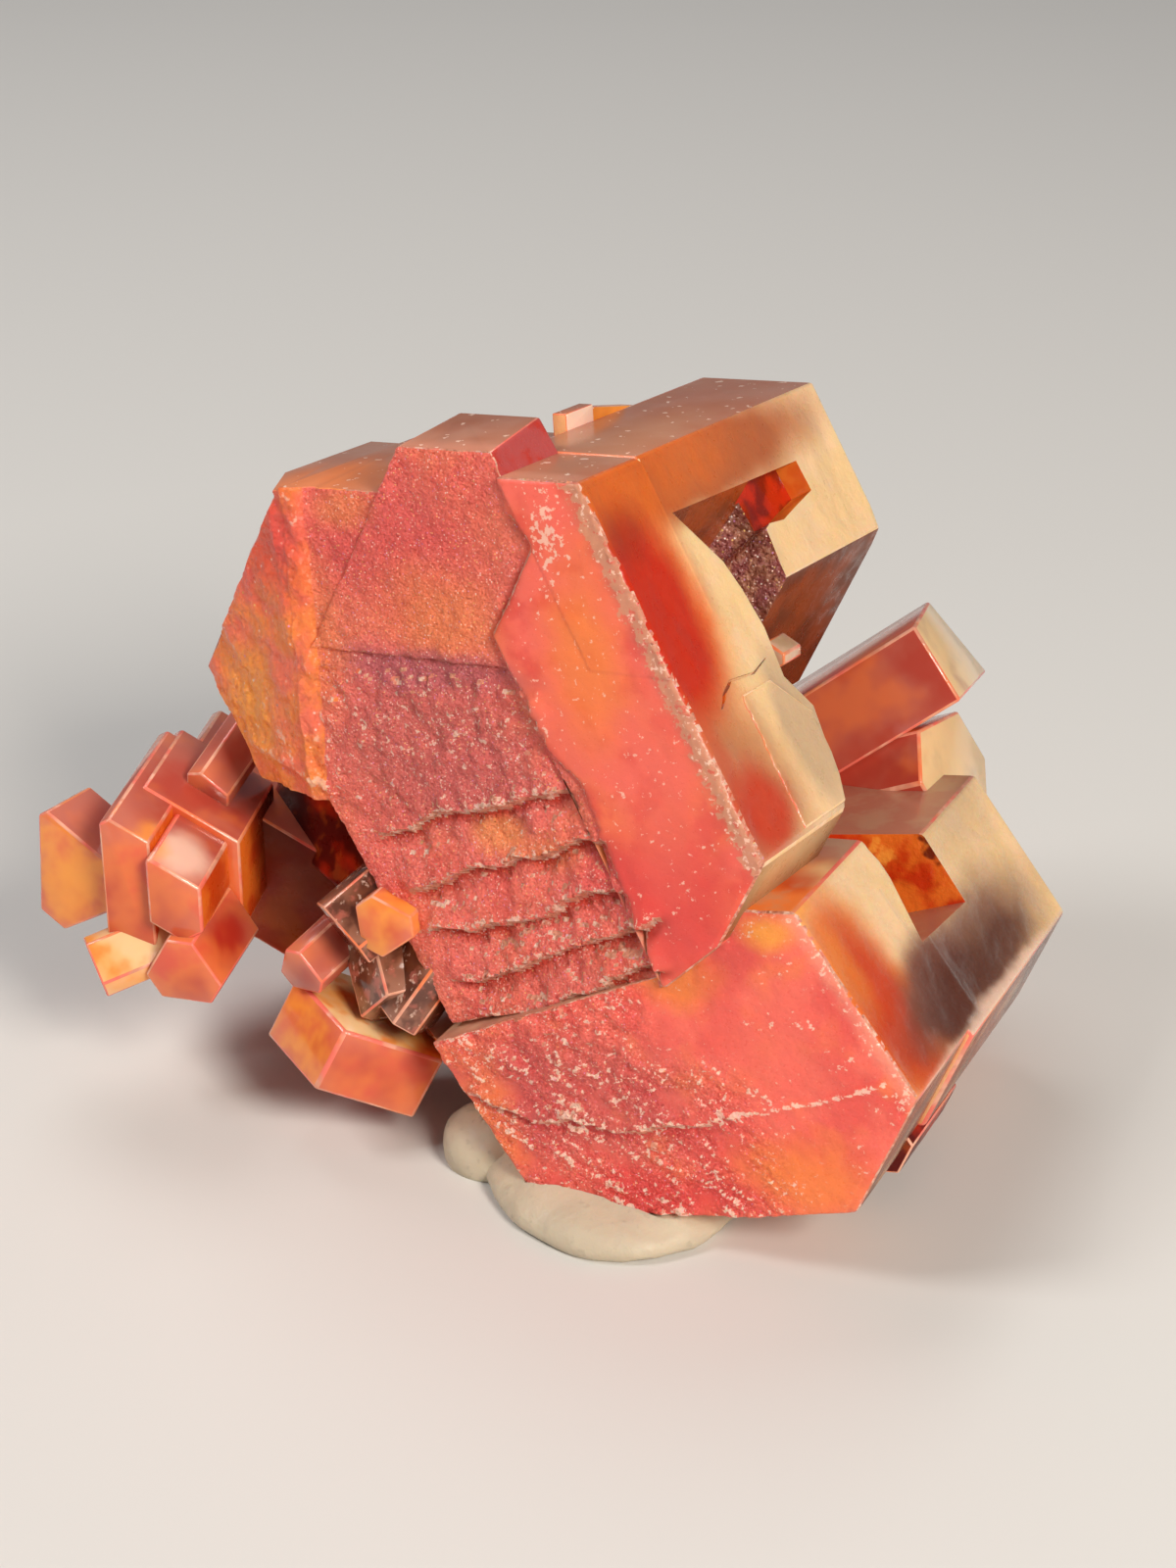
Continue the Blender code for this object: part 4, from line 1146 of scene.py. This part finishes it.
class LowerCrystal(bpy.types.Operator):
    """Build the lower main crystal: striated end face, side face with a window and a painted
    shadow, and V-shaped gap
    """
    bl_idname = "specimen.lower_crystal"
    bl_label = "Lower crystal"

    def execute(self, context):
        right = crystal("lower", LOWER, {
            TOP: LOWER_TOP, UPPER_RIGHT: LOWER_SIDE, LOWER_RIGHT: LOWER_UNDER,
            -82: LOWER_BASE + 0.37, -87: LOWER_BASE + 0.16, LOWER_LEFT: 5.6, UPPER_LEFT: -1.64},
            0.0, 6.0, edge=0.14)
        left = crystal("lower_left", LOWER, {
            108.6: -1.40, UPPER_RIGHT: 3.2, LOWER_RIGHT: 9.3, -82: LOWER_BASE + 0.32,
            -87: LOWER_BASE + 0.1, -97.5: LOWER_BASE + 0.12, LOWER_LEFT: 6.95}, -0.5, 5.6,
            slopes=((30, -88.8, 0.0545),))
        back = crystal("lower_back", LOWER, six(0.0, LOWER_SIDE, LOWER_UNDER + 0.2, 7.4, 4.6, 2.2),
                       4.8, WHOLE + 0.7, edge=0.12)
        side = crystal("lower_side", LOWER, STEP_FACES, 0.9, 5.2,
                       slopes=((-150, -38, STEP_SLOPE),))
        combine(right, [left, back, side])
        gap = recess("v_gap", LOWER, UPPER_RIGHT, LOWER_SIDE, [
            (5.7, 4.0), (5.7, -2.2), (5.95, -2.9), (5.35, -5.2), (9.0, -5.45), (9.1, -3.2),
            (9.1, 4.0)], 4.6, [
            (6.1, 3.0), (6.1, -1.6), (6.3, -2.2), (6.0, -3.6), (8.4, -3.9), (8.5, -2.6),
            (8.5, 3.0)])
        hollow = crystal("hollow", LOWER, six(-1.4, 3.9, 7.9, 6.0, 3.2, 0.8), WHOLE - 0.8,
                         WHOLE + 1.4, edge=0)
        combine(right, [gap, hollow, below(SEAT)], "DIFFERENCE")
        round_edges(right, LOWER, mouth(UPPER_RIGHT), 0.14)
        end_relief(right, LOWER, 2.0, lower_relief, "lower_face")
        side_relief(right, LOWER, UPPER_RIGHT, lower_side_relief)
        self.paint(right)
        finish(right, "lower_crystal")
        return {"FINISHED"}

    def paint(self, body):
        front = skin("lower end face", LOWER, 0, "coral", (
            ("cloud", 2.4, 0.42, 0.62, "crimson", 0.55),
            ("cloud", 1.6, 0.5, 0.7, "orange", 0.45),
            *end_spots(
                (-1.6, -4.9, 3.6, 1.9, 0.6, 0.4, "wine", 0.65),
                (1.9, -1.0, 1.1, 0.8, 0.7, 0.3, "orange", 0.9),
                (4.7, 0.5, 0.7, 0.5, 0.7, 0.2, "glow", 0.9),
                (4.6, -3.4, 1.7, 2.2, 0.6, 0.3, "coral", 0.7),
                (5.2, -6.9, 2.0, 1.0, 0.7, 0.4, "orange", 0.8),
                (-4.6, -6.2, 0.9, 1.6, 0.7, 0.3, "orange", 0.6),
                (1.2, -7.6, 2.4, 0.7, 0.6, 0.3, "crimson", 0.8)),
            # Painted shade: crimson darkens the striation grooves and the hollow below the fold.
            ("stored", "lower_face", 1, "crimson", 0.9),
            ("stored", "lower_face", 3, "veil", 0.35),
            ("flecks", "lower_face", 0, 0.17, "pale", 0.75),
        ), rough=0.36, bump=0.4, bump_size=0.12, glitter=(0.055, 0.16, 1.0, 0.55),
            keep=("lower_face", 2), ior=1.45, glow=0.3, coat=0.1)
        rim = skin("lower rim", LOWER, 0, "rim", (
            ("cloud", 0.7, 0.42, 0.6, "coral", 0.4),
            ("cloud", 0.3, 0.5, 0.62, "pale", 0.7),
        ), rough=0.4, bump=0.5, bump_size=0.12, glitter=(0.08, 0.1, 0.9, 0.7))
        edge, lip = outline_skin(), lip_skin()
        side = skin("lower side", LOWER, UPPER_RIGHT, "cream", (
            ("cloud", 1.6, 0.42, 0.62, "pale", 0.22),
            *side_spots(5.3,
                (-5.0, 1.2, 3.4, 2.2, 0.35, 0.15, "amber", 0.85),
                (-6.6, 2.4, 1.5, 2.6, 0.35, 0.10, "amber", 0.95),
                (-5.6, 1.6, 2.6, 1.5, 0.5, 0.15, "ember", 0.8),
                (-4.2, 0.8, 1.2, 0.7, 0.6, 0.15, "glow", 0.3),
                (-1.4, 0.3, 0.7, 0.9, 0.6, 0.2, "glow", 0.7),
                # Painted shadow: the dark grey-brown patch, lighter at its top, is the shade cast
                # on this face by the upper crystal.
                (-6.75, 7.5, 1.75, 5.6, 0.45, 0.30, "shadow_grey", 0.9),
                (-6.5, 5.0, 1.35, 2.3, 0.35, 0.20, "shadow_grey", 0.9),
                (-7.05, 6.3, 1.05, 3.6, 0.60, 0.35, "umber_and_shadow", 0.85),
                (-7.1, 10.2, 0.6, 1.6, 0.70, 0.35, "umber_and_shadow", 0.6),
                (-1.8, 11.6, 2.6, 2.6, 0.5, 0.2, "shell", 0.6),
                (-8.3, 7.0, 0.45, 7.5, 0.5, 0.2, "pale", 0.7)),
        ), rough=0.27, bump=0.12, bump_size=0.35, coat=0.15, glow=0.25, ior=1.45)
        # Painted sheen: the mauve of this up-facing face stands partly for the light it reflects
        # from above.
        top = skin("lower top", LOWER, TOP, "mauve_and_sheen", (
            *side_spots(1.0,
                (-4.6, 1.4, 1.9, 2.4, 0.3, 0.1, "orange", 1.0),
                (-5.4, 2.9, 0.8, 0.9, 0.5, 0.3, "cream", 0.9),
                (-4.8, 2.4, 0.6, 0.9, 0.6, 0.2, "ember", 0.7)),
            ("cloud", 1.2, 0.45, 0.65, "shell", 0.5),
        ), rough=0.22, bump=0.0, coat=0.0, ior=1.4)
        # Painted light and shade in the gap: glow clouds for highlights, maroon clouds for its
        # dark parts.
        inner = skin("lower gap", LOWER, 0, "amber", (
            ("cloud", 1.4, 0.4, 0.55, "ember", 0.9),
            ("cloud", 0.9, 0.56, 0.64, "glow", 0.8),
            ("cloud", 1.1, 0.58, 0.66, "maroon", 0.9),
        ), rough=0.16, bump=0.3, bump_size=0.4, coat=0.4)
        under = skin("lower under", LOWER, LOWER_RIGHT, "bronze", (
            ("cloud", 2.8, 0.36, 0.64, "tan", 0.6),
            ("cloud", 2.0, 0.5, 0.72, "cream", 0.35),
        ), rough=0.3, bump=0.1, bump_size=0.3, coat=0.2)
        rest = prism_skin("lower prism", LOWER)
        out = direction(UPPER_RIGHT)

        def notched(n, q):
            return (5.0 < q.z < 9.4 and 5.25 - q.dot(out) > 0.0 and q.dot(out) > 0.5
                    and abs(n.dot(out)) < 0.7 and across(q.x, q.y, out) > -5.6
                    and n.y < 0.8)

        dress(body, LOWER, (
            (front, lambda n, q: n.z < -0.72 and q.z < 1.6),
            (rim, lambda n, q: n.z < -0.12 and q.z < 1.6 and n.dot(out) < 0.92),
            (inner, notched),
            (lip, ("edge", lambda n, q: n.dot(out) > 0.2 and 4.9 < q.z < 9.6)),
            (side, facing(UPPER_RIGHT, 0.88)),
            (edge, ("edge", None)),
            (top, facing(TOP, 0.8)),
            (under, facing(LOWER_RIGHT, 0.8)),
            (rest, None)))


def plain_skin(name, where, kind, core=None, more=()):
    """Materials of the smaller crystals. `core` is the centre and the reach of the clear inside,
    which leaves the edges paler."""
    named = tones()
    recipes = {
        "red": ((0.50, 0.030, 0.014), (
            ("cloud", 3.0, 0.38, 0.60, "orange", 0.65),
            ("cloud", 1.8, 0.50, 0.72, "crimson", 0.6))),
        # Painted shade: maroon with a little ember, for faces and crystals that lie in shadow.
        "deep": ("maroon", (
            ("cloud", 1.6, 0.45, 0.65, "ember", 0.7), ("cloud", 0.6, 0.55, 0.7, "amber", 0.2))),
        "bright": ((0.66, 0.070, 0.012), (
            ("cloud", 2.0, 0.40, 0.58, "glow", 0.75), ("cloud", 1.5, 0.52, 0.72, "crimson", 0.5))),
        "grey": ("shell", (("cloud", 0.8, 0.4, 0.65, "pale", 0.3),)),
        # Painted light: a brighter, sunlit cream-orange for faces meant to look fully lit.
        "sunny": ("cream", (
            ("cloud", 2.0, 0.40, 0.60, "glow", 0.8), ("cloud", 1.0, 0.5, 0.68, "amber", 0.5))),
        "cream": ("cream", (
            ("cloud", 1.6, 0.45, 0.7, "shell", 0.5), ("cloud", 2.4, 0.55, 0.75, "tan", 0.5))),
        "rose": ((0.46, 0.060, 0.036), (
            ("cloud", 2.2, 0.4, 0.62, "rose", 0.6), ("cloud", 2.6, 0.5, 0.68, "orange", 0.4))),
        "glassy": ("bronze", (
            ("cloud", 0.8, 0.42, 0.6, "umber_and_shadow", 0.8), ("cloud", 0.5, 0.52, 0.66, "rose", 0.7),
            ("cloud", 0.3, 0.60, 0.68, "pale", 0.6))),
    }
    base, layers = recipes[kind]
    base = named.get(base, base)
    deep = kind == "deep"
    if core and not deep:
        layers = (("spot", core[0], core[1], 0.25, 0.10, base, 0.95),) + layers
        base = tuple(0.72 * a + 0.28 * b for a, b in zip(base, named["veil"]))
    return skin(name, where, 0, base, layers + more, rough=0.35 if deep else 0.16, bump=0.02,
                bump_size=0.5, coat=0.0 if deep else 0.4, glow=0.3, ior=1.3 if deep else 1.5)


class CoreCrystals(bpy.types.Operator):
    """Build the darker crystals that tie the front and back parts together"""
    bl_idname = "specimen.core_crystals"
    bl_label = "Core crystals"

    def execute(self, context):
        core = crystal("core", UPPER, CORE_FACES, 2.0, 12.0)
        low = crystal("core_low", LOWER, six(3.65, 0.4, 7.2, 6.2, 4.5, 4.0), 3.0, 12.8)
        back = crystal("back", BACK, BACK_FACES, -5.2, 4.6, edge=0.1)
        combine(core, [low, back])
        # The core's side, lower and near faces are painted dark red for the shade they lie in.
        deep = plain_skin("core deep", UPPER, "deep")
        red = plain_skin("core red", BACK, "red")
        cream = plain_skin("core cream", UPPER, "cream")
        rose = plain_skin("core top", LOWER, "rose")
        dress(core, UPPER, (
            (outline_skin(), ("edge", lambda n, q: q.z > 9.0)),
            (deep, facing(SIDE_ANGLE, 0.6)), (deep, facing(LOWER_RIGHT, 0.6)),
            (cream, lambda n, q: n.z > 0.9),
            (rose, facing(TOP, 0.9)),
            (deep, lambda n, q: q.z < 9.0), (red, None)))
        finish(core, "core_crystals")
        return {"FINISHED"}


class RightCrystals(bpy.types.Operator):
    """Build the two small crystals that stand out to the right"""
    bl_idname = "specimen.right_crystals"
    bl_label = "Right crystals"

    def execute(self, context):
        top = crystal("right_top", RIGHT_TOP, {147: 1.83, -147.6: 3.56, -28: 0.89, 63.7: 0.75},
                      -8.5, 0.0, edge=0.09)
        low = crystal("right_low", RIGHT_LOW, six(4.4, 2.7, 0.1, 0.1, 1.5, 3.4), -8.5, 0.0,
                      edge=0.09)
        combine(top, [low])
        red = plain_skin("right red", RIGHT_TOP, "red", ((-1.2, -1.1, -2.6), (2.3, 2.9, 3.3)))
        low_red = plain_skin("right low red", RIGHT_LOW, "red",
                             ((-0.7, 2.1, -2.0), (2.4, 2.6, 3.0)))
        cream = plain_skin("right cream", RIGHT_TOP, "cream")
        rose = plain_skin("right top face", RIGHT_TOP, "rose")
        to_low = lattice(*RIGHT_LOW).inverted() @ lattice(*RIGHT_TOP)

        def on_low(n, q):
            spot = to_low @ q
            return -0.2 < spot.y < 4.5 and -3.2 < spot.x < 2.4

        dress(top, RIGHT_TOP, (
            (outline_skin(), ("edge", None)),
            (cream, lambda n, q: n.z > 0.75), (rose, facing(63.7, 0.8)),
            (low_red, on_low), (red, None)))
        finish(top, "right_crystals")
        return {"FINISHED"}


class LeftCrystals(bpy.types.Operator):
    """Build the stepped crystal on the left and the thinner one outside it"""
    bl_idname = "specimen.left_crystals"
    bl_label = "Left crystals"

    def execute(self, context):
        big = crystal("left", LEFT_BIG, six(0.0, -0.1, 4.1, 3.75, 1.6, 1.28), 0.0, 6.0)
        block = crystal("left_block", LEFT_BIG, six(-0.15, 1.55, 3.0, 2.1, 0.1, -0.2), -0.5, 2.7,
                        edge=0.1)
        wall = crystal("left_wall", LEFT_BIG, six(0.07, 1.92, 4.5, 4.4, 1.2, 1.0), 2.4, 6.4)
        bridge = crystal("left_bridge", LEFT_BIG, six(-0.4, 6.9, 7.3, 4.4, 0.9, 0.2), 5.0, 9.4)
        outer = crystal("left_outer", LEFT_OUTER, six(0.0, 2.0, 2.8, 3.0, 1.05, 0.75), 0.0, 2.4)
        combine(big, [block, wall, bridge, outer])
        front = plain_skin("left front", LEFT_BIG, "red", ((0.6, -2.0, 1.6), (2.3, 2.4, 2.6)))
        top = plain_skin("left top", LEFT_BIG, "rose", ((0.5, -1.4, 3.2), (2.6, 2.3, 3.2)), (
            # Painted highlight: a pale spot on the block's top face.
            ("spot", (0.9, -0.15, 0.6), (0.9, 1.0, 1.0), 0.5, 0.3, "pale", 0.75),
            ("spot", (-0.1, -0.1, 0.2), (0.6, 1.0, 0.8), 0.5, 0.3, "glow", 0.6)))
        bright = plain_skin(
            "left bright", LEFT_OUTER, "bright", ((1.0, -1.5, 1.1), (1.55, 1.75, 1.4)),
            (("spot", (1.1, -1.6, 0.4), (0.7, 1.2, 2.0), 0.5, 0.3, "glow", 0.75),))
        side = skin("left side", LEFT_BIG, UPPER_RIGHT, "amber", (
            ("cloud", 1.8, 0.4, 0.6, "ember", 0.7),
            # Painted shadow: maroon darkens the far part of this face, which lies in shade.
            ("spot", (4.0, 0.0, 7.6), (9, 9, 3.6), 0.4, 0.2, "maroon", 1.0),
        ), rough=0.35, bump=0.05, bump_size=0.4, ior=1.3, glow=0.2)
        dress(big, LEFT_BIG, (
            (outline_skin(), ("edge", None)),
            (bright, lambda n, q: n.z < -0.7 and q.x < -1.3 and q.y < -2.0),
            (front, lambda n, q: n.z < -0.7 and q.z < 4.0),
            (side, lambda n, q: n.z < -0.7),
            (top, facing(TOP, 0.6)), (top, facing(UPPER_LEFT, 0.8)),
            (side, facing(UPPER_RIGHT, 0.6)), (front, None)))
        finish(big, "left_crystals")
        return {"FINISHED"}


class TabletCrystal(bpy.types.Operator):
    """Build the bright tablet low on the left"""
    bl_idname = "specimen.tablet_crystal"
    bl_label = "Tablet crystal"

    def execute(self, context):
        tablet = crystal("tablet", TABLET, {
            186: 0.0, 255: 0.0, LOWER_RIGHT: 3.2, 25: 4.85, 75: 4.05, 112: 2.75}, 0.0, 2.1,
            edge=0.10)
        core = ((2.4, 1.6, 1.05), (3.1, 2.6, 1.5))
        bright = plain_skin("tablet bright", TABLET, "bright", core)
        red = plain_skin("tablet red", TABLET, "red", core)
        # The tablet's top face is painted lighter, as if in full light.
        lit = plain_skin("tablet top", TABLET, "sunny")
        dress(tablet, TABLET, (
            (outline_skin(), ("edge", None)), (lit, lambda n, q: n.z < -0.6),
            (bright, facing(186, 0.8)), (red, None)))
        finish(tablet, "tablet_crystal")
        return {"FINISHED"}


# ---- Small crystals: place, radius, length and kind of material
DRUSE = {
    "plate": ((4.59, 4.88, 14.92, 30.6, -4.9, 36.8), 0.42, 1.1, "grey"),
    "pink": ((-8.40, 4.00, 6.00, 35.0, 12.0, 8.0), 0.72, 3.6, "rose"),
    "glassy_a": ((-7.09, 2.99, 7.64, 60.0, 30.0, 20.0), 1.05, 2.6, "glassy"),
    "glassy_b": ((-6.71, 3.02, 5.64, -20.0, 40.0, 10.0), 1.10, 2.6, "glassy"),
    "glassy_c": ((-5.74, 2.19, 5.55, 80.0, 55.0, 35.0), 1.00, 2.4, "glassy"),
    "orange": ((-6.42, 2.49, 7.74, 20.0, -5.0, 40.0), 0.85, 2.4, "bright"),
    # Painted light: this crystal takes the brighter sunlit colours.
    "left_foot": ((-14.55, 4.55, 5.25, 70.0, 15.0, 10.0), 0.85, 2.6, "sunny"),
    "left_under": ((-12.55, 4.75, 5.35, 15.0, 5.0, 0.0), 1.05, 3.2, "red"),
    "left_back": ((-12.00, 8.90, 9.60, 25.0, 20.0, 15.0), 0.70, 3.0, "rose"),
    # Painted shade: this small crystal lies in shadow under the lower crystal and is painted
    # maroon.
    "under": ((7.75, 0.60, 2.45, 24.0, -4.2, 9.2), 1.40, 4.2, "deep"),
}


class Druse(bpy.types.Operator):
    """Build the small crystals that fill the gaps between the large ones"""
    bl_idname = "specimen.druse"
    bl_label = "Druse"

    def execute(self, context):
        for name, (where, radius, long, kind) in DRUSE.items():
            faces = {a: radius * (1.0 + 0.12 * math.sin(a)) for a in range(-150, 180, 60)}
            small = crystal(name, where, faces, -long / 2, long / 2, edge=0.06)
            dress(small, where, (
                (outline_skin(), ("edge", None)),
                (plain_skin("druse " + name, where, kind, (
                    (0.0, 0.0, 0.0), (radius * 1.15, radius * 1.15, long * 0.6))), None)))
            finish(small, "druse_" + name)
        return {"FINISHED"}


# --------------------------------------------------------------------------------------- putty
# ---- Lumps of the putty, in mm: place (x, y), half sizes (x, y), middle height, half thickness
PUTTY_LOBES = (
    (0.10, 0.90, 4.10, 5.15, 0.35, 1.15),
    (0.70, 4.70, 4.10, 4.90, 0.50, 1.50),
    (-3.75, 1.55, 1.50, 1.75, 0.40, 1.15),
)


class Putty(bpy.types.Operator):
    """Build the pressed pad of putty under the lower crystal"""
    bl_idname = "specimen.putty"
    bl_label = "Mounting putty"

    def execute(self, context):
        gap = context.scene.specimen_sizes.putty_gap * 1000
        lobes = []
        for x, y, rx, ry, middle, thick in PUTTY_LOBES:
            bpy.ops.object.select_all(action="DESELECT")
            bpy.ops.mesh.primitive_uv_sphere_add(segments=96, ring_count=48, radius=1.0)
            lobe = place(bpy.context.object, Matrix.Translation((x, y, middle))
                         @ Matrix.Diagonal((rx, ry, thick, 1.0)))
            for vert in lobe.data.vertices:
                swell = noise.fractal(vert.co / 1.7, 0.8, 2.0, 3)
                vert.co += vert.normal * 0.09 * swell
            lobes.append(lobe)
        pad = combine(lobes[0], lobes[1:])
        dish = {TOP: 3.0, UPPER_RIGHT: LOWER_SIDE, LOWER_RIGHT: LOWER_UNDER + 0.2,
                LOWER_LEFT: 6.95}
        front = dish | {-82: LOWER_BASE + 0.37, -87: LOWER_BASE + 0.16, -97.5: LOWER_BASE + 0.12}
        seats = ((LOWER, front, -0.02, 6.0, ()), (LOWER, dish | {BOTTOM: 7.4}, 4.8, 14.4, ()),
                 (LOWER, STEP_FACES, 0.9, 5.2, ((-150, -38, STEP_SLOPE + gap),)),
                 (BACK, BACK_FACES, -5.2, 4.6, ()), (UPPER, CORE_FACES, 2.0, 12.0, ()))
        cuts = []
        for i, (where, faces, near, far, slopes) in enumerate(seats):
            grown = {angle: distance + gap for angle, distance in faces.items()}
            seat = crystal("seat_%d" % i, where, grown, near - gap, far + gap, slopes, edge=0)
            cuts.append(combine(seat, [below(SEAT - gap)], "DIFFERENCE"))
        combine(pad, [below(0.0)] + cuts, "DIFFERENCE")
        tone = tones()["putty"]
        white = skin("pressed putty", UPRIGHT, 0, "putty", (
            ("cloud", 2.0, 0.4, 0.7, tuple(0.82 * v for v in tone), 0.6),
            ("cloud", 0.3, 0.60, 0.72, tuple(0.6 * v for v in tone), 0.35)),
            rough=0.5, bump=0.25, bump_size=0.6, glow=0.15, ior=1.45)
        dress(pad, UPRIGHT, ((white, None),))
        finish(pad, "putty_pad", "mounting_putty", smooth=40.0)
        return {"FINISHED"}


# --------------------------------------------------------------------------------------- stage
# ---- Lamps: place and size in m, power in W and colour, all aimed at one point
LAMPS = (
    ("key", (0.115, -0.20, 0.16), 0.08, 0.72, (1.0, 0.92, 0.82)),
    ("rake", (-0.16, -0.03, 0.20), 0.07, 0.22, (1.0, 0.97, 0.94)),
    ("back", (-0.06, 0.17, 0.30), 0.16, 0.30, (1.0, 0.98, 0.95)),
)
AIM = (0.0, 0.004, 0.010)

# ---- Camera: place in m, tilt up from straight down in degrees, lens and sensor in mm
EYE, EYE_TILT, LENS, SENSOR = (-0.0009, -0.0730, 0.0487), 64.0, 67.5, 36.0


class Stage(bpy.types.Operator):
    """Set the pale floor, the soft lights and the camera"""
    bl_idname = "specimen.stage"
    bl_label = "Stage"

    def execute(self, context):
        scene = context.scene
        bpy.ops.object.select_all(action="DESELECT")
        bpy.ops.mesh.primitive_plane_add(size=3.0, location=(0.0, 0.0, 0.0))
        ground = bpy.context.object
        ground.name = "ground"
        mat = bpy.data.materials.new("ground")
        mat.use_nodes = True
        shader = mat.node_tree.nodes["Principled BSDF"]
        shader.inputs["Base Color"].default_value = (*tones()["floor"], 1.0)
        shader.inputs["Roughness"].default_value = 0.8
        ground.data.materials.append(mat)
        for name, spot, size, power, tint in LAMPS:
            bpy.ops.object.light_add(type="AREA", location=spot)
            lamp = bpy.context.object
            lamp.name = name
            lamp.data.size, lamp.data.energy, lamp.data.color = size, power, tint
            aim = Vector(AIM) - Vector(spot)
            lamp.rotation_euler = aim.to_track_quat("-Z", "Y").to_euler()
        world = scene.world or bpy.data.worlds.new("studio")
        scene.world = world
        world.use_nodes = True
        sky = world.node_tree.nodes["Background"]
        sky.inputs["Color"].default_value = (0.92, 0.94, 1.0, 1.0)
        sky.inputs["Strength"].default_value = 0.14
        bpy.ops.object.camera_add(location=EYE, rotation=(math.radians(EYE_TILT), 0.0, 0.0))
        camera = bpy.context.object
        camera.data.lens, camera.data.sensor_width = LENS, SENSOR
        camera.data.clip_start, camera.data.clip_end = 0.005, 5.0
        scene.camera = camera
        scene.view_settings.view_transform = "Standard"
        return {"FINISHED"}


OPERATORS = (UpperCrystal, LowerCrystal, CoreCrystals, RightCrystals, LeftCrystals, TabletCrystal,
             Druse, Putty, Stage)


class SpecimenPanel(bpy.types.Panel):
    """Sizes, colours and one button for each piece"""
    bl_idname = "VIEW3D_PT_specimen"
    bl_label = "Vanadinite specimen"
    bl_space_type = "VIEW_3D"
    bl_region_type = "UI"
    bl_category = "Specimen"

    def draw(self, context):
        for holder in (context.scene.specimen_sizes, context.scene.specimen_colours):
            box = self.layout.box()
            for key in type(holder).__annotations__:
                box.prop(holder, key)
        for operator in OPERATORS:
            self.layout.operator(operator.bl_idname)


CLASSES = (SpecimenSizes, SpecimenColours) + OPERATORS + (SpecimenPanel,)


def register():
    for cls in CLASSES:
        bpy.utils.register_class(cls)
    bpy.types.Scene.specimen_sizes = bpy.props.PointerProperty(type=SpecimenSizes)
    bpy.types.Scene.specimen_colours = bpy.props.PointerProperty(type=SpecimenColours)


def unregister():
    del bpy.types.Scene.specimen_colours
    del bpy.types.Scene.specimen_sizes
    for cls in reversed(CLASSES):
        bpy.utils.unregister_class(cls)


def main():
    register()
    bpy.ops.specimen.upper_crystal()
    bpy.ops.specimen.lower_crystal()
    bpy.ops.specimen.core_crystals()
    bpy.ops.specimen.right_crystals()
    bpy.ops.specimen.left_crystals()
    bpy.ops.specimen.tablet_crystal()
    bpy.ops.specimen.druse()
    bpy.ops.specimen.putty()
    bpy.ops.specimen.stage()


if __name__ == "__main__":
    main()
